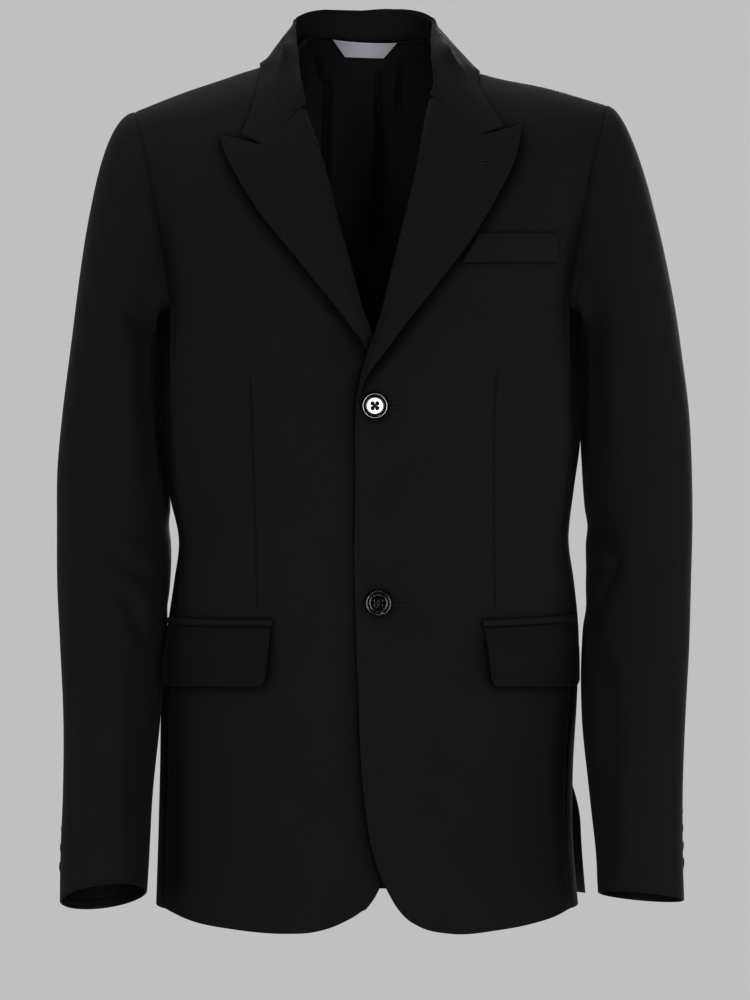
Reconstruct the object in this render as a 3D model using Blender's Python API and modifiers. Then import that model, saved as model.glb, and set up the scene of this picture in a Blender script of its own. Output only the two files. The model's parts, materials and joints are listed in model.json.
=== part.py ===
"""A single-breasted blazer with peak lapels, two front buttons and flap pockets, as it hangs on a wearer.

Every piece that a tailor cuts and sews on is its own closed solid: a wall of cloth with a small gap
at each seam. The body pieces lie on one hollow form, the torso, worked out from a table of its widths
and depths. The sleeves are tubes that grow out of the armholes. Lapels, collar, flaps and welts lie on
the fronts' own surface.

Tables and sizes are in millimetres, and are turned to metres where a mesh is made.
X runs to the wearer's left, Y to the back and Z up. The origin is at the height of the neck points,
where the shoulders of the wearer hold the garment.
"""

import math

import bmesh
import bpy
import numpy as np
from mathutils import Matrix, Vector

MM = 0.001
LEFT, RIGHT = 1, -1  # the wearer's left and right, as the sign of X
SIDE_NAMES = {LEFT: "left", RIGHT: "right"}
FRONT, BACK = -1, 1  # the two faces of the torso, as the sign of Y

CLOTH = 2.0
LINING = 1.0
SEAM_GAP = 0.3
LAY_GAP = 0.5  # between a piece and what it lies on


def table(columns, *rows):
    """Rows of numbers as one array for each named column."""
    return dict(zip(columns.split(), np.array(rows, float).T))


def smooth(keys, values, at):
    """A smooth curve through a table's points, level beyond its ends."""
    slopes = np.gradient(values, keys)
    i = np.clip(np.searchsorted(keys, at) - 1, 0, len(keys) - 2)
    step = keys[i + 1] - keys[i]
    t = np.clip((at - keys[i]) / step, 0, 1)
    return (
        (1 + 2 * t) * (1 - t) ** 2 * values[i]
        + t * (1 - t) ** 2 * step * slopes[i]
        + t * t * (3 - 2 * t) * values[i + 1]
        - t * t * (1 - t) * step * slopes[i + 1]
    )


def ease(t):
    """From 0 to 1, level at both ends."""
    t = np.clip(t, 0, 1)
    return t * t * (3 - 2 * t)


# ---------------------------------------------------------------- the torso

# Half widths to the wearer's right and left, and depths to the front and back of the side line, by height.
BODY = table(
    "z right left front back",
    (-735, 182, 178, 101, 121),
    (-660, 179.5, 172, 103, 122),
    (-600, 178, 172.3, 105, 121),
    (-546, 177, 175.5, 106, 116),
    (-490, 172.5, 177, 107, 106),
    (-445, 166, 173, 108, 97),
    (-412, 162, 168.5, 110, 93),
    (-370, 170.5, 172.5, 114, 97),
    (-330, 176, 178, 118, 104),
    (-270, 180.5, 180.5, 120, 113),
    (-212, 180, 180, 118, 117),
)
# The line that the shoulder seams follow. It goes on over the neck, where the collar stands.
RIDGE = table(
    "x z",
    (-201, -47),
    (-160, -31),
    (-114, -15.5),
    (-74, 0),
    (-40, 30),
    (0, 48),
    (40, 30),
    (74, -7),
    (100, -16),
    (149, -26.3),
    (201, -41),
)
CHEST_Z = BODY["z"][-1]  # above this height the torso is a dome that closes at the ridge
SHOULDER_SPREAD = 50  # how much wider the dome's outline is at the ridge
RIDGE_Y = 6
RING_POWER = 2.4  # 2 is an ellipse, more is squarer
DOME_POWER = 2.2
NEARLY_TOP = 0.9995


def ridge_z(x):
    return smooth(RIDGE["x"], RIDGE["z"], x)


def dome_rise(x, z):
    """How far a height is from the chest line to the ridge, from 0 to 1."""
    return np.clip((z - CHEST_Z) / (ridge_z(x) - CHEST_Z), 0, 1)


def half_width(z, side):
    return smooth(BODY["z"], BODY[SIDE_NAMES[side]], np.minimum(z, CHEST_Z))


def depth(z, face):
    return smooth(BODY["z"], BODY["front" if face == FRONT else "back"], np.minimum(z, CHEST_Z))


def torso_y(x, z, face):
    """The torso's surface as a height field over its front view."""
    x, z = np.asarray(x, float), np.asarray(z, float)
    rise = dome_rise(x, z)
    half = np.where(x < 0, half_width(z, RIGHT), half_width(z, LEFT)) + SHOULDER_SPREAD * rise
    across = np.clip(1 - (abs(x) / half) ** RING_POWER, 0, 1) ** (1 / RING_POWER)
    over = (1 - rise**DOME_POWER) ** (1 / DOME_POWER)
    return RIDGE_Y * rise**2 + face * depth(z, face) * across * over


def torso_form(x, y, z):
    """0 on the torso's surface and more outside it."""
    rise = np.minimum(dome_rise(x, z), NEARLY_TOP)
    half = np.where(x < 0, half_width(z, RIGHT), half_width(z, LEFT)) + SHOULDER_SPREAD * rise
    over = (1 - rise**DOME_POWER) ** (1 / DOME_POWER)
    y = y - RIDGE_Y * rise**2
    deep = np.where(y < 0, depth(z, FRONT), depth(z, BACK)) * over
    return (abs(x) / half) ** RING_POWER + (abs(y) / deep) ** RING_POWER - 1


def torso_slope(x, y, z):
    """How torso_form changes for each millimetre along X, Y and Z."""
    h = 0.01
    steps = (
        torso_form(x + h, y, z) - torso_form(x - h, y, z),
        torso_form(x, y + h, z) - torso_form(x, y - h, z),
        torso_form(x, y, z + h) - torso_form(x, y, z - h),
    )
    return np.stack(steps, -1) / (2 * h)


def torso_normals(points, face=None):
    """Unit normals of the torso at points on it. Just under the ridge they already point straight off it."""
    x, y, z = np.moveaxis(points, -1, 0)
    if face is not None:
        top = CHEST_Z + (NEARLY_TOP - 0.001) * (ridge_z(x) - CHEST_Z)
        z = np.minimum(z, top)
        y = torso_y(x, z, face)
    n = torso_slope(x, y, z)
    return n / np.linalg.norm(n, axis=-1, keepdims=True)


def clear_of_torso(points, least):
    """Points moved out until they are at least this far from the torso."""
    for _ in range(4):
        x, y, z = np.moveaxis(points, -1, 0)
        slope = torso_slope(x, y, z)
        steep = np.linalg.norm(slope, axis=-1)
        short = np.clip(least - torso_form(x, y, z) / steep, 0, least)
        points = points + slope / steep[..., None] * short[..., None]
    return points


def on_torso(x, z, face, lift=0.0):
    """Points on the torso over a place in its front view, moved out by a lift, and their normals."""
    x, z = np.broadcast_arrays(np.asarray(x, float), np.asarray(z, float))
    points = np.stack([x, torso_y(x, z, face), z], -1)
    normals = torso_normals(points, face)
    return points + normals * np.asarray(lift, float)[..., None], normals


# ---------------------------------------------------------------- outlines of the body pieces

SIDE_SEAM_FRONT = 0.955  # where the side piece begins and ends, as a share of the half width
SIDE_SEAM_BACK = 0.93
ARMHOLE = table(
    "z front back",
    (-212, 0.955 * 180, 0.93 * 180),
    (-190, 175, 173.5),
    (-165, 177, 179),
    (-130, 181, 184),
    (-90, 188, 190.5),
    (-60, 196.5, 197.5),
    (-42, 201.5, 201.5),
)
UNDERARM_Z = -225

# The inner edge of each front: its closing edge up to the break, the roll line, and the neckline.
EDGE = {
    LEFT: table(
        "z x",
        (-697, 14),
        (-688.6, 10),
        (-664, 1.8),
        (-623, -4.8),
        (-582, -8.1),
        (-540, -9.7),
        (-475, -12.1),
        (-417, -12.9),
        (-360, -12.1),
        (-311, -10.4),
        (-283, -6),
        (-265, 1),
        (-250, 6.8),
        (-234, 13.2),
        (-197, 23),
        (-156, 32.8),
        (-110, 43.2),
        (-72, 50.2),
        (-44, 56.5),
        (-24, 63),
        (-9, 69),
        (-3, 74),
    ),
    RIGHT: table(
        "z x",
        (-697, 4),
        (-689, 10),
        (-664, 15),
        (-600, 21),
        (-500, 26),
        (-420, 28),
        (-300, 26),
        (-270, 18),
        (-250, 2),
        (-242, -4),
        (-221, -11.4),
        (-189, -19.4),
        (-152, -29.2),
        (-114, -38.2),
        (-82, -47.4),
        (-53, -58),
        (-28, -64),
        (-8, -69.5),
        (0, -74),
    ),
}
HEM = {
    LEFT: table(
        "x z",
        (14, -697),
        (20.7, -709.2),
        (29, -719.5),
        (41, -727.4),
        (66, -733.5),
        (107, -731.6),
        (150, -724.8),
        (172, -719),
    ),
    RIGHT: table(
        "x z",
        (-172, -719),
        (-150, -726),
        (-115, -731),
        (-66, -733.5),
        (-49, -732.4),
        (-20, -723.2),
        (-8, -716),
        (0, -709.1),
        (4, -697),
    ),
}
BACK_HEM_Z = -720
SIDE_HEM_Z = -719
BACK_NECK_Z = 20  # centre back, where the collar is sewn on
NECK_POINT_X = 74
VENT_TOP_Z = -560
VENT_OPENING = 100  # below its top by this much, a vent stands fully open
VENT_LAP = 18  # the side piece goes on under the back by this much
VENT_TUCK = 2.9
VENT_FLARE = {LEFT: 22.0, RIGHT: 3.5}  # how far the back stands off at the hem
LAP_DEPTH = 2.8  # the right front lies this deep under the left one
LAP_X, LAP_FADE = -22, 28
LAP_TOP_Z = -232

ACROSS = np.array([0, 0.035, 0.09, 0.17, 0.27, 0.39, 0.51, 0.63, 0.74, 0.83, 0.9, 0.955, 1])
DOME_ROWS = 9
# The heights of the body pieces' rows at the side seams, so that neighbours meet point to point.
SEAM_Z = np.array([-690, -650, -610, -566, -560, -545, -515, -480, -445, -412, -375, -335, -285, -245])
SIDE_COLUMNS = 5


def dome_rises(rows=DOME_ROWS):
    """Even steps round the dome, as rises."""
    return np.sin(np.linspace(0, np.pi / 2, rows + 1)) ** (2 / DOME_POWER)


def settle(guess, step):
    """A value that a place and the height at that place agree on."""
    for _ in range(12):
        guess = step(guess)
    return guess


def armhole_x(side, face, rise):
    column = ARMHOLE["front" if face == FRONT else "back"]

    def step(x):
        z = CHEST_Z + rise * (ridge_z(x) - CHEST_Z)
        return side * smooth(ARMHOLE["z"], column, z)

    return settle(side * 185.0, step)


def front_outline(side):
    """X and Z of a front's grid, row by row from hem to shoulder."""
    edge, hem = EDGE[side], HEM[side]
    hem_end = side * SIDE_SEAM_FRONT * half_width(SIDE_HEM_Z, side)
    hem_z = smooth(hem["x"], hem["z"], edge["x"][0] + (hem_end - edge["x"][0]) * ACROSS)
    hem_z[-1] = SIDE_HEM_Z
    rows = []
    for seam_z in [SIDE_HEM_Z, *SEAM_Z, CHEST_Z]:
        up = (seam_z - SIDE_HEM_Z) / (CHEST_Z - SIDE_HEM_Z)
        z = (1 - up) * hem_z + up * CHEST_Z
        inner = smooth(edge["z"], edge["x"], z[0])
        outer = side * SIDE_SEAM_FRONT * half_width(seam_z, side)
        rows.append((inner + (outer - inner) * ACROSS, z))
    for rise in dome_rises()[1:]:
        inner = settle(
            side * 40.0,
            lambda x: smooth(edge["z"], edge["x"], CHEST_Z + rise * (ridge_z(x) - CHEST_Z)),
        )
        x = inner + (armhole_x(side, FRONT, rise) - inner) * ACROSS
        rows.append((x, CHEST_Z + rise * (ridge_z(x) - CHEST_Z)))
    return np.array([r[0] for r in rows]), np.array([r[1] for r in rows])


def lap_lift(x, z):
    """The right front is pressed in where the left one covers it."""
    return -LAP_DEPTH * ease((x - LAP_X + LAP_FADE) / LAP_FADE) * ease((LAP_TOP_Z - z) / 14)


def back_neck_z(x):
    return BACK_NECK_Z * np.clip(1 - (abs(x) / NECK_POINT_X) ** 2, 0, 1)


def back_top_z(x):
    """The shoulder seam, and the neckline between the neck points."""
    return np.where(abs(x) < NECK_POINT_X, np.minimum(back_neck_z(x), ridge_z(x)), ridge_z(x))


def back_outline(side, across=np.array([0, 0.1, 0.22, 0.35, 0.48, 0.6, 0.72, 0.83, 0.92, 1])):
    """X and Z of a back's grid, row by row from hem to shoulder and neck."""
    rows = []
    for z in [BACK_HEM_Z, *SEAM_Z]:
        x = side * SIDE_SEAM_BACK * half_width(z, side) * across
        rows.append((x, np.full_like(x, z)))
    for rise in dome_rises():
        x = armhole_x(side, BACK, rise) * across
        rows.append((x, CHEST_Z + rise * (back_top_z(x) - CHEST_Z)))
    return np.array([r[0] for r in rows]), np.array([r[1] for r in rows])


def vent_flare(side, x, z):
    open_share = ease((VENT_TOP_Z - z) / VENT_OPENING)
    near_edge = ease((abs(x) / half_width(z, side) - 0.45) / (SIDE_SEAM_BACK - 0.45))
    return VENT_FLARE[side] * open_share * near_edge


def side_seam_y(side, z, face):
    share = SIDE_SEAM_FRONT if face == FRONT else SIDE_SEAM_BACK
    return face * depth(z, face) * (1 - share**RING_POWER) ** (1 / RING_POWER)


def underarm_z(side, y):
    """The bottom of the armhole, which rises to the chest line at both side seams."""
    front, back = (side_seam_y(side, CHEST_Z, face) for face in (FRONT, BACK))
    off = 2 * (y - front) / (back - front) - 1
    return UNDERARM_Z + (CHEST_Z - UNDERARM_Z) * np.minimum(off**2, 1)


def on_side(side, y, z):
    """Points on the torso's flank, over a place in its side view."""
    deep = np.where(y < 0, depth(z, FRONT), depth(z, BACK))
    x = side * half_width(z, side) * (1 - (abs(y) / deep) ** RING_POWER) ** (1 / RING_POWER)
    points = np.stack([x, y, z], -1)
    return points, torso_normals(points)


# ---------------------------------------------------------------- meshes and materials


def finish(name, rgb, roughness, metallic=0.0):
    made = bpy.data.materials.new(name)
    made.use_nodes = True
    shader = made.node_tree.nodes["Principled BSDF"]
    shader.inputs["Base Color"].default_value = (*rgb, 1)
    shader.inputs["Roughness"].default_value = roughness
    shader.inputs["Metallic"].default_value = metallic
    made.diffuse_color = (*rgb, 1)
    return made


def trimmed(points, rows=(0.0, 0.0), columns=(0.0, 0.0)):
    """The grid with its edges drawn in by these distances, at the first and last row and column."""
    points = points.copy()

    def draw_in(edge, inner, by):
        if by:
            way = inner - edge
            edge += way / np.maximum(np.linalg.norm(way, axis=-1, keepdims=True), 1e-6) * by

    draw_in(points[0], points[1].copy(), rows[0])
    draw_in(points[-1], points[-2].copy(), rows[1])
    draw_in(points[:, 0], points[:, 1].copy(), columns[0])
    draw_in(points[:, -1], points[:, -2].copy(), columns[1])
    return points


def grid_normals(points):
    """Unit normals of a grid from its own neighbours."""
    down = np.gradient(points, axis=0)
    along = np.gradient(points, axis=1)
    n = np.cross(along, down)
    return n / np.maximum(np.linalg.norm(n, axis=-1, keepdims=True), 1e-9)


def wall(name, outer, normals, thickness, made_of, closed=False):
    """A wall of cloth: a grid of outer points, the same grid moved in, and faces that join their edges."""
    rows, columns = outer.shape[:2]
    inner = outer - normals * thickness
    mesh = bmesh.new()
    grids = [[[mesh.verts.new(Vector(p * MM)) for p in row] for row in grid] for grid in (outer, inner)]
    last = columns if closed else columns - 1
    for grid in grids:
        for i in range(rows - 1):
            for j in range(last):
                k = (j + 1) % columns
                mesh.faces.new((grid[i][j], grid[i][k], grid[i + 1][k], grid[i + 1][j]))
    front, back = grids
    for i in (0, rows - 1):
        for j in range(last):
            k = (j + 1) % columns
            mesh.faces.new((front[i][j], front[i][k], back[i][k], back[i][j]))
    if not closed:
        for j in (0, columns - 1):
            for i in range(rows - 1):
                mesh.faces.new((front[i][j], front[i + 1][j], back[i + 1][j], back[i][j]))
    bmesh.ops.recalc_face_normals(mesh, faces=mesh.faces)
    data = bpy.data.meshes.new(name)
    mesh.to_mesh(data)
    mesh.free()
    data.shade_smooth()
    data.set_sharp_from_angle(angle=math.radians(40))
    data.materials.append(made_of)
    piece = bpy.data.objects.new(name, data)
    COLLECTION.objects.link(piece)
    return piece


# ---------------------------------------------------------------- body pieces


def make_front(side, made_of):
    x, z = front_outline(side)
    lift = lap_lift(x, z) if side == RIGHT else np.zeros_like(x)
    points, normals = on_torso(x, z, FRONT, lift)
    half = SEAM_GAP / 2
    wall(f"front_{SIDE_NAMES[side]}", trimmed(points, (0, SEAM_GAP), (0, half)), normals, CLOTH, made_of)


def make_back(side, made_of):
    x, z = back_outline(side)
    points, normals = on_torso(x, z, BACK, vent_flare(side, x, z))
    half = SEAM_GAP / 2
    wall(f"back_{SIDE_NAMES[side]}", trimmed(points, (0, SEAM_GAP), (half, half)), normals, CLOTH, made_of)


def make_side(side, made_of):
    """The side piece, with the lap under the back below the vent's top."""
    rows = []
    for z_row in [SIDE_HEM_Z, *SEAM_Z, UNDERARM_Z]:
        seams = [side_seam_y(side, z_row, face) for face in (FRONT, BACK)]
        vented = z_row < VENT_TOP_Z
        ends = (seams[0] + SEAM_GAP / 2, seams[1] + (VENT_LAP if vented else -SEAM_GAP / 2))
        y = np.append(np.linspace(ends[0], seams[1] - 4, SIDE_COLUMNS), ends[1])
        z = np.full_like(y, z_row)
        if z_row == UNDERARM_Z:
            z = underarm_z(side, y)
        points, normals = on_side(side, y, z)
        tuck = VENT_TUCK * np.array([0, 0, 0, 0, 1, 1.05]) if z_row <= VENT_TOP_Z else 0 * y
        rows.append((points - normals * tuck[:, None], normals))
    points = np.array([r[0] for r in rows])
    normals = np.array([r[1] for r in rows])
    wall(f"side_{SIDE_NAMES[side]}", points, normals, CLOTH, made_of)


# ---------------------------------------------------------------- sleeves

# A sleeve's rings: outer and inner X, the middle's Y, half the depth, and how far the ring is tipped forward.
SLEEVE = {
    RIGHT: table(
        "z outer inner y half_depth pitch",
        (-705, 256.5, 184.5, -78, 47, 18),
        (-680, 257, 183.5, -69, 47.5, 18),
        (-620, 256.5, 181.5, -48, 49, 18),
        (-560, 258, 176.5, -28, 51, 18),
        (-500, 262.5, 174.8, -8, 53, 16),
        (-450, 266, 169.8, 5, 55, 12),
        (-400, 267, 169.8, 13, 57, 7),
        (-350, 266.5, 174.5, 13, 59, 3),
        (-300, 261.5, 180.4, 9, 62, 1),
        (-245, 254, 181.8, 4, 66, 0),
    ),
    LEFT: table(
        "z outer inner y half_depth pitch",
        (-705, 260, 189, -78, 47, 18),
        (-680, 260, 188, -69, 47.5, 18),
        (-620, 261.5, 183.5, -48, 49, 18),
        (-560, 265.5, 179.5, -28, 51, 18),
        (-500, 270.5, 181.5, -8, 53, 16),
        (-450, 273, 183, 5, 55, 12),
        (-400, 275, 183.8, 13, 57, 7),
        (-350, 274.5, 182, 13, 59, 3),
        (-300, 271.5, 181, 9, 62, 1),
        (-245, 264, 181.6, 4, 66, 0),
    ),
}
SLEEVE_TOP_Z = -245
CUFF_Z = -705
SLEEVE_TWIST = 0.13  # the share of a turn that the seams wind round to the outside by the cuff
ARMHOLE_CLEAR = 0.7
CAP_FULL = {RIGHT: 94, LEFT: 70}  # how strongly the cap sets out sideways from the shoulder
CAP_ROWS = np.array([0, 0.07, 0.17, 0.3, 0.45, 0.62, 0.8, 1])
TUBE_Z = np.array([-268, -295, -325, -355, -382, -405, -425, -445, -468, -500, -545, -600, -655, -690, -705])
FRONT_SEAM_AT, BACK_SEAM_AT = 0.33, 0.73  # shares of the turn, from the top of the shoulder round the front

# Soft folds of a sleeve: place round the turn, height, size each way, how far it climbs, and depth.
SLEEVE_FOLDS = table(
    "turn z wide high climb depth",
    (0.36, -405, 0.15, 11, 60, 3.4),
    (0.30, -440, 0.12, 13, -50, 2.6),
    (0.42, -470, 0.10, 12, 70, 2.0),
    (0.27, -285, 0.07, 30, 140, 2.6),
    (0.16, -340, 0.05, 55, 200, 1.6),
    (0.78, -330, 0.08, 45, -150, 2.2),
    (0.82, -250, 0.07, 35, -120, 1.8),
)


def sleeve_twist(z):
    return SLEEVE_TWIST * ease((SLEEVE_TOP_Z - z) / (SLEEVE_TOP_Z - CUFF_Z))


def sleeve_ring(side, turn, z):
    """A point of the tube. Turn 0 is its outer side, a quarter is its front."""
    t = SLEEVE[side]
    outer, inner, y, deep = (smooth(t["z"], t[c], z) for c in ("outer", "inner", "y", "half_depth"))
    pitch = np.radians(smooth(t["z"], t["pitch"], z))
    angle = 2 * np.pi * (turn + sleeve_twist(z))
    off = -deep * np.sin(angle)
    x = side * ((outer + inner) / 2 + (outer - inner) / 2 * np.cos(angle))
    return np.stack(np.broadcast_arrays(x, y + off * np.cos(pitch), z - off * np.sin(pitch)), -1)


def armhole_loop(side, at):
    """A point of the armhole: 0 to 1 down the front, 1 to 2 under the arm, 2 to 3 up the back."""
    if at <= 1 or at >= 2:
        face = FRONT if at <= 1 else BACK
        rise = math.sin((1 - at if at <= 1 else at - 2) * math.pi / 2) ** (2 / DOME_POWER)
        x = armhole_x(side, face, rise)
        z = CHEST_Z + rise * (ridge_z(x) - CHEST_Z)
        return np.array([x, float(torso_y(x, z, face)), z])
    seams = [side_seam_y(side, CHEST_Z, face) for face in (FRONT, BACK)]
    y = seams[0] + (at - 1) * (seams[1] - seams[0])
    z = underarm_z(side, y)
    return on_side(side, np.array([y]), np.array([z]))[0][0]


class Armhole:
    """The loop that a sleeve is set into, by the share of its length from the top of the shoulder."""

    def __init__(self, side, steps=120):
        self.at = np.linspace(0, 3, 3 * steps + 1)
        self.points = np.array([armhole_loop(side, a) for a in self.at])
        self.points[:, 0] += side * ARMHOLE_CLEAR
        lengths = np.linalg.norm(np.diff(self.points, axis=0), axis=1)
        self.turn = np.append(0, np.cumsum(lengths)) / lengths.sum()

    def turn_of(self, at):
        return np.interp(at, self.at, self.turn)

    def point(self, turn):
        turn = np.asarray(turn) % 1
        return np.stack([np.interp(turn, self.turn, self.points[:, i]) for i in range(3)], -1)


ARMHOLES = {}


def sleeve_base(side, turn, level):
    """A point of the sleeve. Levels 0 to 1 are the cap, from the armhole; a level below 0 is a height of the tube."""
    turn, level = np.broadcast_arrays(np.asarray(turn, float), np.asarray(level, float))
    tube = sleeve_ring(side, turn, np.where(level < 0, level, SLEEVE_TOP_Z))
    start = ARMHOLES[side].point(turn)
    over = (1 + np.cos(2 * np.pi * turn)) / 2
    leave = np.stack(
        [side * (5 + CAP_FULL[side] * over), -14 * np.sin(2 * np.pi * turn), -(20 - 6 * over)],
        -1,
    )
    top = np.full_like(turn, SLEEVE_TOP_Z)
    arrive = (sleeve_ring(side, turn, top - 1) - tube) * (22 + 168 * over)[..., None]
    s = np.clip(level, 0, 1)[..., None]
    cap = (
        (1 + 2 * s) * (1 - s) ** 2 * start
        + s * (1 - s) ** 2 * leave
        + s * s * (3 - 2 * s) * tube
        - s * s * (1 - s) * arrive
    )
    return np.where((level < 0)[..., None], tube, cap)


def sleeve_normals(side, turn, level):
    """Unit normals that point out of the sleeve."""
    low = np.where(level < 0, np.minimum(level + 0.5, SLEEVE_TOP_Z), np.clip(level - 0.01, 0, 1))
    high = np.where(level < 0, level - 0.5, np.clip(level + 0.01, 0, 1))
    down = sleeve_base(side, turn, high) - sleeve_base(side, turn, low)
    round_it = sleeve_base(side, turn + 0.004, level) - sleeve_base(side, turn - 0.004, level)
    n = np.cross(round_it, down) * side
    return n / np.linalg.norm(n, axis=-1, keepdims=True)


def sleeve_relief(turn, z):
    """The soft folds, as a depth below the plain tube."""
    t, total = SLEEVE_FOLDS, 0.0
    for i in range(len(t["turn"])):
        off = (turn - t["turn"][i] + 0.5) % 1 - 0.5
        away = (off / t["wide"][i]) ** 2 + ((z - t["z"][i] - t["climb"][i] * off) / t["high"][i]) ** 2
        total = total + t["depth"][i] * np.exp(-away)
    return total


def on_sleeve(side, turn, level, lift=0.0):
    turn, level = np.broadcast_arrays(np.asarray(turn, float), np.asarray(level, float))
    base = sleeve_base(side, turn, level)
    normals = sleeve_normals(side, turn, level)
    away = ease(np.where(level < 0, 1, level) / 0.5)
    lift = lift - sleeve_relief(turn, base[..., 2]) * away
    return base + normals * lift[..., None], normals


def sleeve_columns(side):
    """The turns of the armhole's own points, so that sleeve and body meet point to point."""
    rises = np.linspace(1, 0, DOME_ROWS + 1)
    front = 1 - rises
    under = 1 + np.linspace(0, 1, 5)[1:-1]
    back = 2 + rises[::-1]
    return ARMHOLES[side].turn_of(np.concatenate([front, under, back]))


def make_sleeve(side, made_of):
    turns = sleeve_columns(side)
    front_seam = np.argmin(abs(turns - FRONT_SEAM_AT))
    back_seam = np.argmin(abs(turns - BACK_SEAM_AT))
    levels = np.concatenate([CAP_ROWS, TUBE_Z])[:, None]
    over = np.concatenate([turns[back_seam:-1] - 1, turns[: front_seam + 1]])
    under = turns[front_seam : back_seam + 1]
    half = SEAM_GAP / 2
    for name, columns in (("top_sleeve", over), ("under_sleeve", under)):
        points, normals = on_sleeve(side, columns[None, :], levels)
        wall(f"{name}_{SIDE_NAMES[side]}", trimmed(points, columns=(half, half)), normals, CLOTH, made_of)


def make_sleeve_lining(side, made_of):
    """The lining that shows inside the cuff, set back from its edge."""
    turns = sleeve_columns(side)[None, :-1]
    levels = np.array([-600, -655, -690, -697])[:, None]
    points, normals = on_sleeve(side, turns, levels, -CLOTH - LAY_GAP)
    wall(f"sleeve_lining_{SIDE_NAMES[side]}", points, normals, LINING, made_of, closed=True)


# ---------------------------------------------------------------- lapels

# A lapel's outer edge by height, from the break to the peak's tip.
LAPEL_EDGE = {
    RIGHT: table(
        "z x",
        (-243, -9.6),
        (-213, -32.5),
        (-172, -65.3),
        (-142, -89.3),
        (-123, -101.8),
        (-106, -111.1),
        (-90, -118.9),
        (-76.2, -123.4),
    ),
    LEFT: table(
        "z x",
        (-283, -8.5),
        (-274.5, -3.1),
        (-258.2, 10.8),
        (-237.8, 24.7),
        (-196.7, 57.4),
        (-163.6, 82.1),
        (-125.7, 104.6),
        (-100.1, 117.3),
        (-82, 122.6),
        (-67.7, 125),
    ),
}
# The visible roll line by height, from the break to the collar.
ROLL = {
    RIGHT: table(
        "z x",
        (-243, -0.8),
        (-236, -3.2),
        (-221, -8.2),
        (-189, -16.2),
        (-152, -26.0),
        (-114, -35),
        (-82, -44.2),
        (-53, -54.5),
    ),
    LEFT: table(
        "z x",
        (-283, -7.5),
        (-265, -1.5),
        (-250, 3.6),
        (-234, 10),
        (-197, 19.8),
        (-156, 29.6),
        (-110, 40.2),
        (-72, 47),
        (-45, 52.5),
    ),
}
# The gorge seam and the notch, from the roll line to the peak's tip, and the collar's corner beside it.
GORGE = {
    RIGHT: {
        "roll": (-54.5, -53),
        "notch": (-80.6, -88),
        "tip": (-123.4, -76.2),
        "corner": (-105, -76.8),
    },
    LEFT: {
        "roll": (52.5, -45),
        "notch": (82.6, -80.6),
        "tip": (125, -67.7),
        "corner": (109.5, -69.5),
    },
}
LAPEL_ROWS = np.array([0, 0.07, 0.16, 0.27, 0.38, 0.5, 0.61, 0.71, 0.8, 0.87, 0.93, 0.97, 1])
LAPEL_COLUMNS = np.array([0, 0.12, 0.25, 0.385, 0.54, 0.7, 0.86, 1])
NOTCH_AT = 0.385
BOW = 4  # how sharply the lapel's rows bend into its top edge
ROLL_RADIUS = 3.2
LAPEL_FLAT, LAPEL_RISE, EDGE_RISE = 2.6, 3.6, 1.2


def along(points, shares, at):
    """A place on a path through these points."""
    points = np.array(points, float)
    return np.stack([np.interp(at, shares, points[:, i]) for i in range(2)], -1)


def lapel_stand(up, across):
    """How far a lapel's face stands off the front: least at the break, the roll line and the edge."""
    across = np.clip(across, 0, 1)
    bulge = LAPEL_RISE * np.sin(np.pi * across**0.7) ** 1.2 + EDGE_RISE * across
    return LAPEL_FLAT + bulge * (0.25 + 0.75 * ease(up / 0.3))


def make_lapel(side, made_of):
    roll, edge, gorge = ROLL[side], LAPEL_EDGE[side], GORGE[side]
    t, s = LAPEL_ROWS[:, None], LAPEL_COLUMNS[None, :]
    z_in = roll["z"][0] + (roll["z"][-1] - roll["z"][0]) * t
    z_out = edge["z"][0] + (edge["z"][-1] - edge["z"][0]) * t
    x = smooth(roll["z"], roll["x"], z_in) * (1 - s) + smooth(edge["z"], edge["x"], z_out) * s
    z = z_in * (1 - s) + z_out * s
    top = along([gorge["roll"], gorge["notch"], gorge["tip"]], [0, NOTCH_AT, 1], LAPEL_COLUMNS)
    x = x + (top[:, 0] - x[-1]) * t**BOW
    z = z + (top[:, 1] - z[-1]) * t**BOW
    points, normals = on_torso(x, z, FRONT, lapel_stand(t, s))
    flat, _ = on_torso(x[:, :1], z[:, :1], FRONT, np.full_like(z[:, :1], -CLOTH / 2))
    hook = []
    for angle in np.radians([200, 165, 125]):
        off = side * ROLL_RADIUS * math.cos(angle)
        p = flat + normals[:, :1] * (ROLL_RADIUS * math.sin(angle) + 0.4)
        p[..., 0] += off
        hook.append(p)
    points = np.concatenate([*hook, points], axis=1)
    n = grid_normals(points)
    n *= np.sign((n[:, 4:] * normals[:, 1:]).sum())
    n[:, 3:] += (normals - n[:, 3:]) * (t**BOW)[..., None]
    wall(f"lapel_{SIDE_NAMES[side]}", points, n, CLOTH, made_of)


# ---------------------------------------------------------------- collar

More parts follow.
